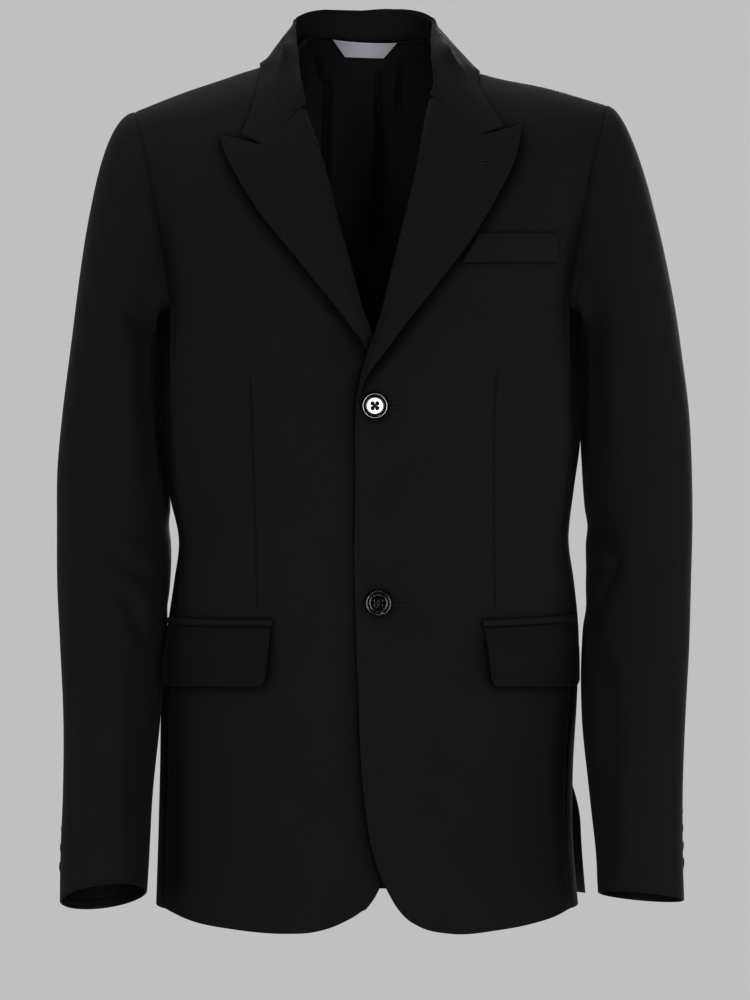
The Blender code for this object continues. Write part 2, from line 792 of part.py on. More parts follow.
# The collar by station, from the wearer's right end round the neck to the left end: the bottom of its stand,
# its fold, and the outer edge of its fall.
COLLAR = table(
    "stand_x stand_y stand_z fold_x fold_y fold_z edge_x edge_y edge_z",
    (-52.5, -84, -49, -54.5, -90, -51, -105, -84, -76.8),
    (-56.0, -73, -34, -57, -78, -31, -98.5, -75, -55),
    (-61.5, -52, -12, -59.5, -50, -6, -92.5, -54, -33),
    (-69, -22, 3, -62, -20, 17, -89.5, -24, -13),
    (-69, 6, 4, -63, 6, 30, -87, 10, -2.5),
    (-63, 30, 7.5, -60, 28, 38.5, -82, 44, -4),
    (-42, 50, 15, -42, 48, 45, -58, 74, -1),
    (-4, 60, 21.5, -6, 59, 47.5, -6, 88, 3),
    (36, 52, 16.5, 30, 48, 45, 54, 74, -2),
    (60, 33, 6, 49, 28, 37, 79, 44, -6),
    (67, 6, -1.5, 51.5, 4, 27, 84.5, 10, -6.5),
    (67, -20, 0, 51, -24, 13, 86.5, -24, -16),
    (59, -52, -14, 50.5, -50, -5, 89, -50, -31),
    (54, -70, -32, 52.5, -74, -28, 99.5, -68, -49),
    (50.0, -78, -40.5, 52, -86, -43, 109.5, -79, -69.5),
)
COLLAR_STEPS = 30
COLLAR_SMOOTHING = 3
FALL_SHARES = np.array([0.14, 0.34, 0.56, 0.78, 1])
FALL_NOTCH_AT = 0.56
GORGE_GAP = 1.0
FALL_BOW = 2.2
COLLAR_CLEAR = 3.2


def make_collar(made_of):
    stations = len(COLLAR["fold_x"])
    keys = np.arange(stations, dtype=float)
    at = np.linspace(0, stations - 1, COLLAR_STEPS + 1)
    stand, fold, edge = (
        np.stack([smooth(keys, COLLAR[f"{part}_{axis}"], at) for axis in "xyz"], -1)
        for part in ("stand", "fold", "edge")
    )
    columns = [stand, stand + (fold - stand) * 0.5, stand + (fold - stand) * 0.86, fold]
    way = edge - fold
    off = np.cross(np.gradient(fold, axis=0), way)
    off /= np.linalg.norm(off, axis=-1, keepdims=True)
    off *= np.sign(off[len(off) // 2, 2] + 1e-9)
    for share in FALL_SHARES:
        columns.append(fold + way * share + off * FALL_BOW * np.sin(np.pi * share**0.6)[..., None])
    points = np.stack(columns, axis=1)
    flats = []
    for side, end in ((RIGHT, 0), (LEFT, -1)):
        gorge = GORGE[side]
        corners = [gorge["roll"], gorge["notch"], gorge["corner"]]
        path = along(corners, [0, FALL_NOTCH_AT, 1], np.append(0, FALL_SHARES))
        path[:, 1] += GORGE_GAP
        stand_off = lapel_stand(1.0, NOTCH_AT * np.append(0, FALL_SHARES) / FALL_NOTCH_AT)
        target, flat = on_torso(path[:, 0], path[:, 1], FRONT, stand_off)
        near = np.clip(1 - abs(at - at[end]) / 2.6, 0, 1) ** 2.2
        points[:, 3:] += near[:, None, None] * (target - points[end, 3:])
        flats.append((near, flat))
    for _ in range(COLLAR_SMOOTHING):
        fall = clear_of_torso(points[:, 4:], COLLAR_CLEAR)
        points[1:-1, 4:] = (fall[:-2] + 2 * fall[1:-1] + fall[2:]) / 4
    points[:, 4:] = clear_of_torso(points[:, 4:], COLLAR_CLEAR)
    n = grid_normals(points)
    n *= np.sign(n[len(n) // 2, 3, 2])
    for near, flat in flats:
        n[:, 4:] += (flat[1:] - n[:, 4:]) * (near**2)[:, None, None]
    wall("collar", points, n, CLOTH, made_of)


# ---------------------------------------------------------------- what lies on the fronts

FLAP_RADIUS = 14
# Corners of each pocket piece in the front view: top inner, top outer, bottom inner, bottom outer.
POCKETS = {
    RIGHT: {
        "flap": ((-80.4, -481), (-167.5, -481.5), (-84.5, -530), (-171.5, -532)),
        "jet": ((-78.7, -475), (-168, -475.5), (-78.9, -480.4), (-168, -480.9)),
    },
    LEFT: {
        "flap": ((93.5, -481.5), (171.5, -479), (98.5, -530), (172.6, -532)),
        "jet": ((92, -475), (171.5, -472.5), (92.2, -480.8), (171.5, -478.3)),
    },
}
WELT = ((89, -157.8), (154.5, -155.5), (74.5, -182.7), (155.8, -180))
JET_LIFT, FLAP_LIFT, WELT_LIFT = 2.7, 3.0, 2.7


def quad_outline(corners, down, across):
    """X and Z of a grid between four corners."""
    a, b, c, d = (np.array(p, float) for p in corners)
    v, u = down[:, None, None], across[None, :, None]
    return np.moveaxis((1 - v) * ((1 - u) * a + u * b) + v * ((1 - u) * c + u * d), -1, 0)


def even_across(corners, count):
    """Shares of a strip's width that lie evenly along the curved front."""
    u = np.linspace(0, 1, 60)
    x, z = quad_outline(corners, np.array([0.0]), u)
    points = on_torso(x, z, FRONT)[0][0]
    length = np.append(0, np.cumsum(np.linalg.norm(np.diff(points, axis=0), axis=1)))
    return np.interp(np.linspace(0, length[-1], count), length, u)


def lay_on_front(name, corners, down, columns, lift, made_of, rounded=0.0):
    across = even_across(corners, columns)
    x, z = quad_outline(corners, down, across)
    if rounded:
        wide = abs(x[-1, -1] - x[-1, 0])
        from_end = np.minimum(across, 1 - across) * wide * 1.25
        off = rounded - np.minimum(from_end, rounded)
        rise = rounded - np.sqrt(np.clip(rounded**2 - off**2, 0, None))
        z = z + rise[None, :] * down[:, None] ** 2
    points, normals = on_torso(x, z, FRONT, np.full_like(x, lift))
    wall(name, points, normals, CLOTH, made_of)


def make_pocket(side, made_of):
    name = SIDE_NAMES[side]
    corners = POCKETS[side]
    flap_rows = np.array([0, 0.35, 0.7, 1])
    lay_on_front(f"pocket_jet_{name}", corners["jet"], np.array([0.0, 1.0]), 8, JET_LIFT, made_of)
    lay_on_front(f"flap_{name}", corners["flap"], flap_rows, 13, FLAP_LIFT, made_of, FLAP_RADIUS)


# ---------------------------------------------------------------- linings and label

LINING_SHARE = 0.8
LINING_GAP, NECK_LINING_GAP = 0.7, 2.6  # the lining hangs freer in the curve under the collar
LABEL_GAP = 2.2
LABEL = ((-33.5, 17.6), (24.5, 15.4), (-23.5, 7.6), (13, 6.2))


def lining_lift(z):
    return -CLOTH - LINING_GAP - (NECK_LINING_GAP - LINING_GAP) * ease((z + 130) / 90)


def make_back_lining(made_of):
    shares = np.array([-1, -0.8, -0.6, -0.4, -0.2, 0, 0.2, 0.4, 0.6, 0.8, 1]) * LINING_SHARE
    rows = []
    for z in [-700, *SEAM_Z[1:]]:
        x = np.where(shares < 0, half_width(z, RIGHT), half_width(z, LEFT)) * shares
        rows.append((x, np.full_like(x, z)))
    for rise in dome_rises()[:-1]:
        x = armhole_x(LEFT, BACK, rise) * shares
        rows.append((x, CHEST_Z + rise * (back_top_z(x) - CHEST_Z)))
    x = armhole_x(LEFT, BACK, 1.0) * shares
    rows.append((x, back_top_z(x) - 2.5 - 4.5 * ease((abs(x) - 35) / 30)))
    x, z = np.array([r[0] for r in rows]), np.array([r[1] for r in rows])
    points, normals = on_torso(x, z, BACK, lining_lift(z))
    wall("back_lining", points, normals, LINING, made_of)


def make_label(made_of):
    x, z = quad_outline(LABEL, np.linspace(0, 1, 3), np.linspace(0, 1, 5))
    points, normals = on_torso(x, z + 4.5, BACK, lining_lift(z) - LINING - LABEL_GAP)
    wall("neck_label", points, normals, 0.8, made_of)


# ---------------------------------------------------------------- buttons

FRONT_BUTTON_RADIUS, CUFF_BUTTON_RADIUS = 10.8, 6.6
FRONT_BUTTON_HEIGHT, CUFF_BUTTON_HEIGHT = 4.0, 3.0
FRONT_BUTTONS = {"button_top": (4.2, -299.6), "button_bottom": (7.1, -461)}
CUFF_BUTTON_Z = (-674, -660.2, -646.4, -632.6)
CUFF_BUTTON_TURN = 0.94
BUTTON_GAP = 0.4


def button_profile(radius, height):
    """Half a button's outline, down its outer side: a dished face inside a raised rim, and a domed back."""
    return [
        (0, 0.62 * height),
        (0.52 * radius, 0.62 * height),
        (0.7 * radius, 0.9 * height),
        (0.85 * radius, height),
        (0.96 * radius, 0.85 * height),
        (radius, 0.6 * height),
        (0.93 * radius, 0.3 * height),
        (0.6 * radius, 0.0),
        (0, 0.0),
    ]


def make_button(name, centre, normal, radius, height, sides, made_of):
    data = bpy.data.meshes.new(name)
    profile = button_profile(radius, height)
    edges = [(i, i + 1) for i in range(len(profile) - 1)]
    data.from_pydata([(r * MM, 0, z * MM) for r, z in profile], edges, [])
    data.materials.append(made_of)
    piece = bpy.data.objects.new(name, data)
    COLLECTION.objects.link(piece)
    turned = piece.modifiers.new("turned", "SCREW")
    turned.steps = turned.render_steps = sides
    turned.use_merge_vertices = True
    turned.merge_threshold = 0.00001
    turned.use_smooth_shade = True
    up = Vector(normal)
    turn = up.to_track_quat("Z", "Y")
    piece.matrix_world = Matrix.Translation(Vector(np.asarray(centre) * MM)) @ turn.to_matrix().to_4x4()


def make_front_buttons(made_of):
    for name, (x, z) in FRONT_BUTTONS.items():
        points, normals = on_torso(np.array([x]), np.array([z]), FRONT, np.array([BUTTON_GAP]))
        make_button(name, points[0], normals[0], FRONT_BUTTON_RADIUS, FRONT_BUTTON_HEIGHT, 24, made_of)


def make_cuff_buttons(side, made_of):
    for number, z in enumerate(CUFF_BUTTON_Z, 1):
        turn = np.array([CUFF_BUTTON_TURN - SLEEVE_TWIST])
        points, normals = on_sleeve(side, turn, np.array([z]), BUTTON_GAP)
        name = f"cuff_button_{SIDE_NAMES[side]}_{number}"
        make_button(name, points[0], normals[0], CUFF_BUTTON_RADIUS, CUFF_BUTTON_HEIGHT, 12, made_of)


# ---------------------------------------------------------------- the garment

for old in list(bpy.data.objects):
    bpy.data.objects.remove(old)
COLLECTION = bpy.data.collections.new("blazer")
bpy.context.scene.collection.children.link(COLLECTION)

wool = finish("wool_twill", (0.008, 0.008, 0.009), 0.85)
satin = finish("lining_satin", (0.006, 0.006, 0.007), 0.35)
label_satin = finish("label_satin", (0.42, 0.42, 0.46), 0.45)
horn = finish("button_polyester", (0.008, 0.008, 0.009), 0.12)

for side in (RIGHT, LEFT):
    ARMHOLES[side] = Armhole(side)
    make_front(side, wool)
    make_side(side, wool)
    make_back(side, wool)
    make_sleeve(side, wool)
    make_sleeve_lining(side, satin)
    make_lapel(side, wool)
    make_pocket(side, wool)
    make_cuff_buttons(side, horn)
make_collar(wool)
lay_on_front("chest_welt", WELT, np.array([0.0, 0.5, 1.0]), 7, WELT_LIFT, wool)
make_back_lining(satin)
make_label(label_satin)
make_front_buttons(horn)
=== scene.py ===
# %% [markdown]
# # A single-breasted blazer, dressed in Blender
#
# A blazer is cut from flat pieces of wool and sewn into a hollow shape that stands up by itself on a wearer's
# shoulders. The imported model already has that shape as plain solids, one for each piece. This lesson builds the
# cloth that shows: each piece again as a fine, thin shell on its solid's own form, with the edges folded round, the
# creases laid in, and the sewing on top.
#
# The sizes are in millimetres, because that is how a tailor thinks, and they are turned to metres where a mesh is
# made. X runs to the wearer's left, Y to the back and Z up, as in the model.

# %% Load the imported frame
import json
import math

import bpy
import numpy as np
from mathutils import Matrix, Vector

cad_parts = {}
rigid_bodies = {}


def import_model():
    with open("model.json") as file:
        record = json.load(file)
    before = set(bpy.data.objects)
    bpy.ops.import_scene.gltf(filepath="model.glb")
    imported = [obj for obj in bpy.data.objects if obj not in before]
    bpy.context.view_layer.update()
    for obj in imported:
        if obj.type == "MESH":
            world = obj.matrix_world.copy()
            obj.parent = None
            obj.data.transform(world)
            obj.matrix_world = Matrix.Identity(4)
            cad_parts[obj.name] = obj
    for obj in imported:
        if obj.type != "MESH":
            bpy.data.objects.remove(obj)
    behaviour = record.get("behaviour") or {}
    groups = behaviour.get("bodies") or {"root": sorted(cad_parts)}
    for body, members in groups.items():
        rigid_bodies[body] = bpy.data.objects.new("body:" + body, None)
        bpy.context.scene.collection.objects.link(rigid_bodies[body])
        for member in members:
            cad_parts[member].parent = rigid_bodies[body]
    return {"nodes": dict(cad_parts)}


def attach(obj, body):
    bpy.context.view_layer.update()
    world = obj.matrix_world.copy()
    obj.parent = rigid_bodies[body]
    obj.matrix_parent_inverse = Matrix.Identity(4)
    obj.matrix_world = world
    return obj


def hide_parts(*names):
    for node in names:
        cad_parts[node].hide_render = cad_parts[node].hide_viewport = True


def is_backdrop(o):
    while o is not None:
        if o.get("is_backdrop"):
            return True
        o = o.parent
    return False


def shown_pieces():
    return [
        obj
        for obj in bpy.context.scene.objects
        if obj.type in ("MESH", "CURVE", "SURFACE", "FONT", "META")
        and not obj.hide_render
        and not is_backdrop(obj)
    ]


MM = 0.001
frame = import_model()
scene = bpy.context.scene
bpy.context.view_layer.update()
print("packed nodes:", len(frame["nodes"]))

# %% [markdown]
# ## The camera
#
# A garment for a catalogue is taken from straight ahead with a long lens, so that nearer parts don't swell. The
# camera stands three metres off and takes in 850 mm of height at the depth of the side seams. The lens follows from
# those two numbers and from the height of the sensor.

# %% Place the camera
CAMERA_AWAY = 3000
VIEW_HEIGHT = 850
SENSOR = 36
CAMERA_X, CAMERA_Z = 4.25, -376.55
camera_data = bpy.data.cameras.new("studio_camera")
camera_data.sensor_fit = "VERTICAL"
camera_data.sensor_height = SENSOR
camera_data.lens = SENSOR * CAMERA_AWAY / VIEW_HEIGHT


def add_object(name, data):
    """An object in the scene."""
    made = bpy.data.objects.new(name, data)
    scene.collection.objects.link(made)
    return made


camera = add_object("studio_camera", camera_data)
camera.location = (CAMERA_X * MM, -CAMERA_AWAY * MM, CAMERA_Z * MM)
camera.rotation_euler = (math.pi / 2, 0, 0)
scene.camera = camera
print("lens:", round(camera_data.lens, 1), "mm")

# %% [markdown]
# ## Colours and shader nodes
#
# Colours are easiest to judge as the hex values that a screen shows, but a shader counts in linear light, so one
# function turns the first into the second. Another small one adds any shader node with its settings and its links in
# one call, which keeps each material readable as a list of what happens to the surface.


# %% Helpers for materials
def linear(hex_colour):
    """An sRGB hex colour as the linear red, green, blue and alpha that a shader needs."""
    channels = [int(hex_colour[i : i + 2], 16) / 255 for i in (1, 3, 5)]
    return [c / 12.92 if c <= 0.04045 else ((c + 0.055) / 1.055) ** 2.4 for c in channels] + [1]


def set_inputs(node, **inputs):
    """Inputs are values, or sockets of other nodes to link. One named _6 is the input with that number."""
    for name, value in inputs.items():
        socket = node.inputs[int(name[1:])] if name[1:].isdigit() else node.inputs[name.replace("_", " ")]
        if isinstance(value, bpy.types.NodeSocket):
            node.id_data.links.new(value, socket)
        else:
            socket.default_value = value
    return node


def add_node(tree, kind, settings=None, **inputs):
    """A shader node of this kind, with its own options and its inputs."""
    made = tree.nodes.new("ShaderNode" + kind)
    for option, value in (settings or {}).items():
        setattr(made, option, value)
    return set_inputs(made, **inputs)


def new_material(name):
    """An empty material with its node tree, its shader and nothing else."""
    material = bpy.data.materials.new(name)
    material.use_nodes = True
    return material, material.node_tree, material.node_tree.nodes["Principled BSDF"]


print("mid grey in linear light:", [round(c, 3) for c in linear("#808080")[:3]])

# %% [markdown]
# ## Wool twill
#
# The shell of the blazer is black wool twill, woven and then pressed. In a twill each yarn floats over two others
# and steps sideways by one, which draws fine diagonal ribs, called wales. Wool yarn is fuzzy: the surface scatters
# light in all directions, hardly mirrors, and looks paler where it turns away from the eye, because the fibres that
# stand off it catch light from behind. That last part is the shader's sheen.
#
# The wales could be geometry, but a jacket has a quarter of a million of them. A wave texture over the cloth's own
# flat coordinates does the same, and turns with the grain of each piece. Real wales are 0.8 mm apart, which is finer
# than a pixel here, so they are drawn 1.9 mm apart.

# %% What the wool's nodes share
WALE = 1.9  # real wales are about 0.8 mm apart; drawn coarser so that they show
CROSSING = 62  # degrees between the wales and the floats that cross them
BAND = 2 * math.pi / 20  # a wave texture of scale 1 repeats at this distance
COLOURS, NUMBERS = {"data_type": "RGBA"}, {"data_type": "FLOAT"}  # what a mix node mixes


# Painted shade: an ambient occlusion node darkens a cloth's colour where other cloth stands close.
def occlusion_for_painted_shade(tree, reach, least=0.15):
    """A factor for painted shade: 1 in the open, and down to least where other cloth stands within reach."""
    ao_for_painted_shade = add_node(tree, "AmbientOcclusion", {"samples": 8}, Distance=reach * MM).outputs["AO"]
    return add_node(tree, "MapRange", Value=ao_for_painted_shade, From_Min=0.55, From_Max=1.0, To_Min=least, To_Max=1.0).outputs[0]


def with_painted_shade(tree, colour, painted_shade_factor):
    """The colour in the open, with painted shade down to near black where the factor is low."""
    return add_node(tree, "Mix", COLOURS, _0=painted_shade_factor, _6=linear("#010101"), _7=colour).outputs[2]


print("light from the open at least:", occlusion_for_painted_shade.__defaults__[0])


# %% The twill's nodes
def make_twill(use, reach, rib="#1d1d1f", dip="#0c0c0d", lean=39, relief=0.7, least=0.15, sheen=0.06):
    """Wool twill for one use: black ribs with blacker dips between them, which lean this many degrees from the warp."""
    material, tree, shader = new_material("wool_twill_" + use)
    flat = add_node(tree, "UVMap", {"uv_map": "cloth"}).outputs["UV"]
    turned = add_node(tree, "Mapping", Vector=flat, Rotation=(0, 0, math.radians(lean))).outputs["Vector"]
    crossed = add_node(tree, "Mapping", Vector=flat, Rotation=(0, 0, math.radians(lean - CROSSING))).outputs[0]
    wales = add_node(tree, "TexWave", {"bands_direction": "X"}, Vector=turned, Scale=BAND / (WALE * MM),
                     Distortion=0.35, Detail=1.0, Detail_Scale=3.0).outputs["Fac"]
    floats = add_node(tree, "TexWave", {"bands_direction": "X"}, Vector=crossed, Scale=BAND / (WALE * 1.3 * MM),
                      Distortion=0.8, Detail=1.0, Detail_Scale=2.0).outputs["Fac"]
    weave = add_node(tree, "Mix", NUMBERS, Factor=0.14, A=wales, B=floats).outputs[0]
    fuzz = add_node(tree, "TexNoise", Vector=flat, Scale=900.0, Detail=3.0).outputs["Fac"]
    cloudy = add_node(tree, "TexNoise", Vector=flat, Scale=22.0, Detail=2.0).outputs["Fac"]
    shade = add_node(tree, "Mix", NUMBERS, Factor=0.3, A=weave, B=fuzz).outputs[0]
    colour = add_node(tree, "Mix", COLOURS, _0=shade, _6=linear(dip), _7=linear(rib)).outputs[2]
    rough = add_node(tree, "MapRange", Value=cloudy, To_Min=0.74, To_Max=0.9).outputs["Result"]
    height = add_node(tree, "Mix", NUMBERS, Factor=0.25, A=weave, B=fuzz).outputs[0]
    bump = add_node(tree, "Bump", Height=height, Strength=relief, Distance=0.25 * MM).outputs["Normal"]
    set_inputs(
        shader,
        # painted shade: the colour darkens where other cloth stands close
        Base_Color=with_painted_shade(tree, colour, occlusion_for_painted_shade(tree, reach, least)),
        Roughness=rough,
        Normal=bump,
        IOR=1.54,  # wool fibre
        Diffuse_Roughness=0.1,  # fuzz sends light back evenly from every slope
        Specular_IOR_Level=0.05,  # and hides most of the fibres' gloss
        Sheen_Weight=sheen,
        Sheen_Roughness=0.35,
        Sheen_Tint=linear("#b9bcc4"),
    )
    return material


print("wales a metre:", round(1 / (WALE * MM)))

# %% Make the wool
# All of it is one cloth. What differs is how far, in mm, painted shade reaches from the cloth around it. The collar
# and the flaps are a touch darker, painted shade that tones down the light they catch, and the lapels are a touch
# darker too. The vents' facing is painted paler: painted light on cloth that lies in shade.
body_twill = make_twill("body", 36)
sleeve_twill = make_twill("sleeve", 7)
back_twill = make_twill("back", 4)
# painted light: the vents' inner face is a paler wool, so that it shows though it lies in shade
pale_vent_painted_light_twill = make_twill("pale_vent_facing_painted_light", 2, "#3e3e41", "#1d1d1f")
# painted shade: the side piece goes fully black where the sleeve stands close
side_twill = make_twill("side", 29, least=0.0, sheen=0.02)
collar_twill = make_twill("collar", 8, "#1b1b1d", "#0b0b0c")
pocket_twill = make_twill("pocket", 36, "#19191b", "#0a0a0b")
lapel_twills = {side: make_twill(f"lapel_{side}", 9, "#1c1c1e", lean=lean, relief=0.9) for side, lean in
                (("right", 172), ("left", 82))}
print("cloths:", [m.name for m in bpy.data.materials if m.name.startswith("wool_twill_")])

# %% [markdown]
# ## Satin, thread and buttons
#
# The lining is a warp-faced satin: long smooth floats that mirror light softly and in one direction, so it reads as a
# dark, slightly slippery cloth. The neck label is the same weave in pale grey, left bare.
#
# The buttons are cast polyester, polished in a tumbler. That gives a clear, sharp mirror over a black body. The thread
# is spun polyester, with a fine twist and a dull shine.


# %% Make the satins
def make_satin(name, warp_colour, weft_colour, gloss, puckered, reach=7):
    """Satin: warp floats as fine streaks, with a soft pucker, and painted shade where other cloth stands close."""
    material, tree, shader = new_material(name)
    place = add_node(tree, "TexCoord").outputs["Object"]
    stretched = add_node(tree, "Mapping", Vector=place, Scale=(1.0, 1.0, 0.08)).outputs["Vector"]
    # Real floats are 0.1 mm wide; these streaks are 0.6 mm wide, so that the grain shows at all.
    streaks = add_node(tree, "TexNoise", Vector=stretched, Scale=1 / (0.6 * MM), Detail=2.0).outputs["Fac"]
    pucker = add_node(tree, "TexNoise", Vector=stretched, Scale=1 / (24 * MM), Detail=2.0).outputs["Fac"]
    colour = add_node(tree, "Mix", COLOURS, _0=streaks, _6=linear(weft_colour), _7=linear(warp_colour)).outputs[2]
    # painted shade near other cloth
    colour = with_painted_shade(tree, colour, occlusion_for_painted_shade(tree, reach))
    fine = add_node(tree, "Bump", Height=streaks, Strength=0.15, Distance=0.1 * MM).outputs[0]
    bump = add_node(tree, "Bump", Height=pucker, Strength=puckered, Distance=2.5 * MM, Normal=fine).outputs[0]
    set_inputs(shader, Base_Color=colour, Normal=bump, Roughness=gloss, Specular_IOR_Level=0.04)
    return material


lining_satin = make_satin("satin_black_lining", "#1c1c1e", "#131314", 0.55, 0.12)
# Painted shade reaches 60 mm in the sleeve lining, so it goes dark deep in the cuffs.
sleeve_satin = make_satin("satin_black_sleeve_lining", "#1a1a1c", "#111112", 0.55, 0.2, 60)
label_satin = make_satin("satin_grey_label", "#89898e", "#75757a", 0.42, 0.1)
print("satins:", lining_satin.name, label_satin.name)


# %% Make the polyester of the buttons, and the thread
def make_button_polyester():
    """Cast polyester, polished: black with a faint grey marbling under a clear mirror."""
    material, tree, shader = new_material("polyester_polished")
    place = add_node(tree, "TexCoord").outputs["Object"]
    swirl = add_node(tree, "TexNoise", Vector=place, Scale=1 / (9 * MM), Detail=3.0, Distortion=1.2).outputs["Fac"]
    colour = add_node(tree, "Mix", COLOURS, _0=swirl, _6=linear("#030303"), _7=linear("#0a090a")).outputs[2]
    # The roughness is so low because the buttons are tumbled until they mirror.
    set_inputs(shader, Base_Color=colour, Roughness=0.06, IOR=1.56, Specular_IOR_Level=0.3)
    return material


def make_thread(name, light, dark):
    """Spun polyester thread: the twist goes round it as fine slanting bands."""
    material, tree, shader = new_material(name)
    along = add_node(tree, "UVMap", {"uv_map": "cloth"}).outputs["UV"]
    slanted = add_node(tree, "Mapping", Vector=along, Rotation=(0, 0, math.radians(35))).outputs["Vector"]
    # The real twist repeats every 0.3 mm; it is drawn at 0.7 mm.
    twist = add_node(tree, "TexWave", {"bands_direction": "Y"}, Vector=slanted, Scale=BAND / (0.7 * MM)).outputs["Fac"]
    colour = add_node(tree, "Mix", COLOURS, _0=twist, _6=linear(dark), _7=linear(light)).outputs[2]
    bump = add_node(tree, "Bump", Height=twist, Strength=0.6, Distance=0.1 * MM).outputs["Normal"]
    set_inputs(shader, Base_Color=colour, Normal=bump, Roughness=0.6, Specular_IOR_Level=0.2)
    return material


polyester = make_button_polyester()
black_thread = make_thread("thread_polyester_black", "#18181b", "#0a0a0b")
print("sewn with:", polyester.name, black_thread.name)

# %% [markdown]
# ## Curves from short tables
#
# A tailor drafts a jacket from a few measures and joins them with a smooth curve. The code does the same: a table
# holds a row for each height or station, and one function draws the curve through them. A softer step, level at both
# ends, is used wherever one shape fades into another.


# %% Helpers for tables and curves
def table(columns, *rows):
    """Rows of numbers as one array for each named column."""
    return dict(zip(columns.split(), np.array(rows, float).T))


def bend(t, start, leave, end, arrive):
    """A smooth curve between two values, with the slopes at which it leaves one and arrives at the other."""
    out, back = t * (1 - t) ** 2 * leave, t * t * (1 - t) * arrive
    return (1 + 2 * t) * (1 - t) ** 2 * start + out + t * t * (3 - 2 * t) * end - back


def smooth(keys, values, at):
    """A smooth curve through the points of these keys and values, level beyond its ends."""
    slopes = np.gradient(values, keys)
    i = np.clip(np.searchsorted(keys, at) - 1, 0, len(keys) - 2)
    step = keys[i + 1] - keys[i]
    t = np.clip((at - keys[i]) / step, 0, 1)
    return bend(t, values[i], step * slopes[i], values[i + 1], step * slopes[i + 1])


def curve(made, column, at):
    """The smooth curve of one column of a table over its first column."""
    return smooth(next(iter(made.values())), made[column], at)


def ease(t):
    """From 0 to 1, level at both ends."""
    t = np.clip(t, 0, 1)
    return t * t * (3 - 2 * t)


def hump(off, wide):
    """A round hump, 1 at its middle, that has faded to a third this wide off it."""
    return np.exp(-((off / wide) ** 2))


def unit(vectors):
    """The same vectors, 1 long."""
    return vectors / np.linalg.norm(vectors, axis=-1, keepdims=True)


print("halfway through a step:", ease(0.5))

# %% [markdown]
# ## The form that the body pieces lie on
#
# Fronts, sides and backs are sewn into one hollow shape, so it is best worked out once: each piece is then a patch of
# the same surface and its seams meet by themselves. Up to the chest line, the form is a stack of rounded rings, from
# a table of half widths and depths. Above it, a dome closes at the line of the shoulder seams.

# %% The torso's tables
LEFT, RIGHT = 1, -1  # the wearer's left and right, as the sign of X
SIDE_NAMES = {LEFT: "left", RIGHT: "right"}
FRONT, BACK = -1, 1  # the two faces of the torso, as the sign of Y
BODY = table("z right left front back",
    (-735, 182, 178, 101, 121), (-660, 179.5, 172, 103, 122), (-600, 178, 172.3, 105, 121),
    (-546, 177, 175.5, 106, 116), (-490, 172.5, 177, 107, 106), (-445, 166, 173, 108, 97),
    (-412, 162, 168.5, 110, 93), (-370, 170.5, 172.5, 114, 97), (-330, 176, 178, 118, 104),
    (-270, 180.5, 180.5, 120, 113), (-212, 180, 180, 118, 117),
)
RIDGE = table("x z",
    (-201, -47), (-160, -31), (-114, -15.5), (-74, 0), (-40, 30), (0, 48), (40, 30), (74, -7), (100, -16),
    (149, -26.3), (201, -41),
)
CHEST_Z = BODY["z"][-1]
SHOULDER_SPREAD = 50  # how much wider the dome's outline is at the ridge
RIDGE_Y = 6
RING_POWER = 2.4  # 2 is an ellipse, more is squarer
DOME_POWER = 2.2
NEARLY_TOP = 0.9995
print("chest line at", CHEST_Z, "mm")


# %% The torso's surface
def ridge_z(x):
    return curve(RIDGE, "z", x)


def dome_z(x, rise):
    """The height over x at this rise, which is 0 on the chest line and 1 on the ridge."""
    return CHEST_Z + rise * (ridge_z(x) - CHEST_Z)


def dome_rise(x, z):
    """The rise of a height over x, kept between 0 and 1."""
    return np.clip((z - CHEST_Z) / (ridge_z(x) - CHEST_Z), 0, 1)


def half_width(z, side):
    return curve(BODY, SIDE_NAMES[side], np.minimum(z, CHEST_Z))


def half_width_at(x, z):
    return np.where(x < 0, half_width(z, RIGHT), half_width(z, LEFT))


def depth(z, face):
    return curve(BODY, "front" if face == FRONT else "back", np.minimum(z, CHEST_Z))


def depth_at(y, z):
    return np.where(y < 0, depth(z, FRONT), depth(z, BACK))


def torso_y(x, z, face):
    """The torso's surface as a height field over its front view."""
    rise = dome_rise(x, z)
    half = half_width_at(x, z) + SHOULDER_SPREAD * rise
    across = np.clip(1 - (abs(x) / half) ** RING_POWER, 0, 1) ** (1 / RING_POWER)
    return RIDGE_Y * rise**2 + face * depth(z, face) * across * (1 - rise**DOME_POWER) ** (1 / DOME_POWER)


def torso_form(x, y, z):
    """0 on the torso's surface and more outside it."""
    rise = np.minimum(dome_rise(x, z), NEARLY_TOP)
    half = half_width_at(x, z) + SHOULDER_SPREAD * rise
    y = y - RIDGE_Y * rise**2
    deep = depth_at(y, z) * (1 - rise**DOME_POWER) ** (1 / DOME_POWER)
    return (abs(x) / half) ** RING_POWER + (abs(y) / deep) ** RING_POWER - 1


def torso_slope(x, y, z, h=0.01):
    """How torso_form changes for each millimetre along X, Y and Z."""
    steps = (
        torso_form(x + h, y, z) - torso_form(x - h, y, z),
        torso_form(x, y + h, z) - torso_form(x, y - h, z),
        torso_form(x, y, z + h) - torso_form(x, y, z - h),
    )
    return np.stack(steps, -1) / (2 * h)


def torso_normals(points, face=None):
    """Unit normals of the torso at points on it. Just under the ridge they already point straight off it."""
    x, y, z = np.moveaxis(points, -1, 0)
    if face is not None:
        z = np.minimum(z, dome_z(x, NEARLY_TOP - 0.001))
        y = torso_y(x, z, face)
    return unit(torso_slope(x, y, z))


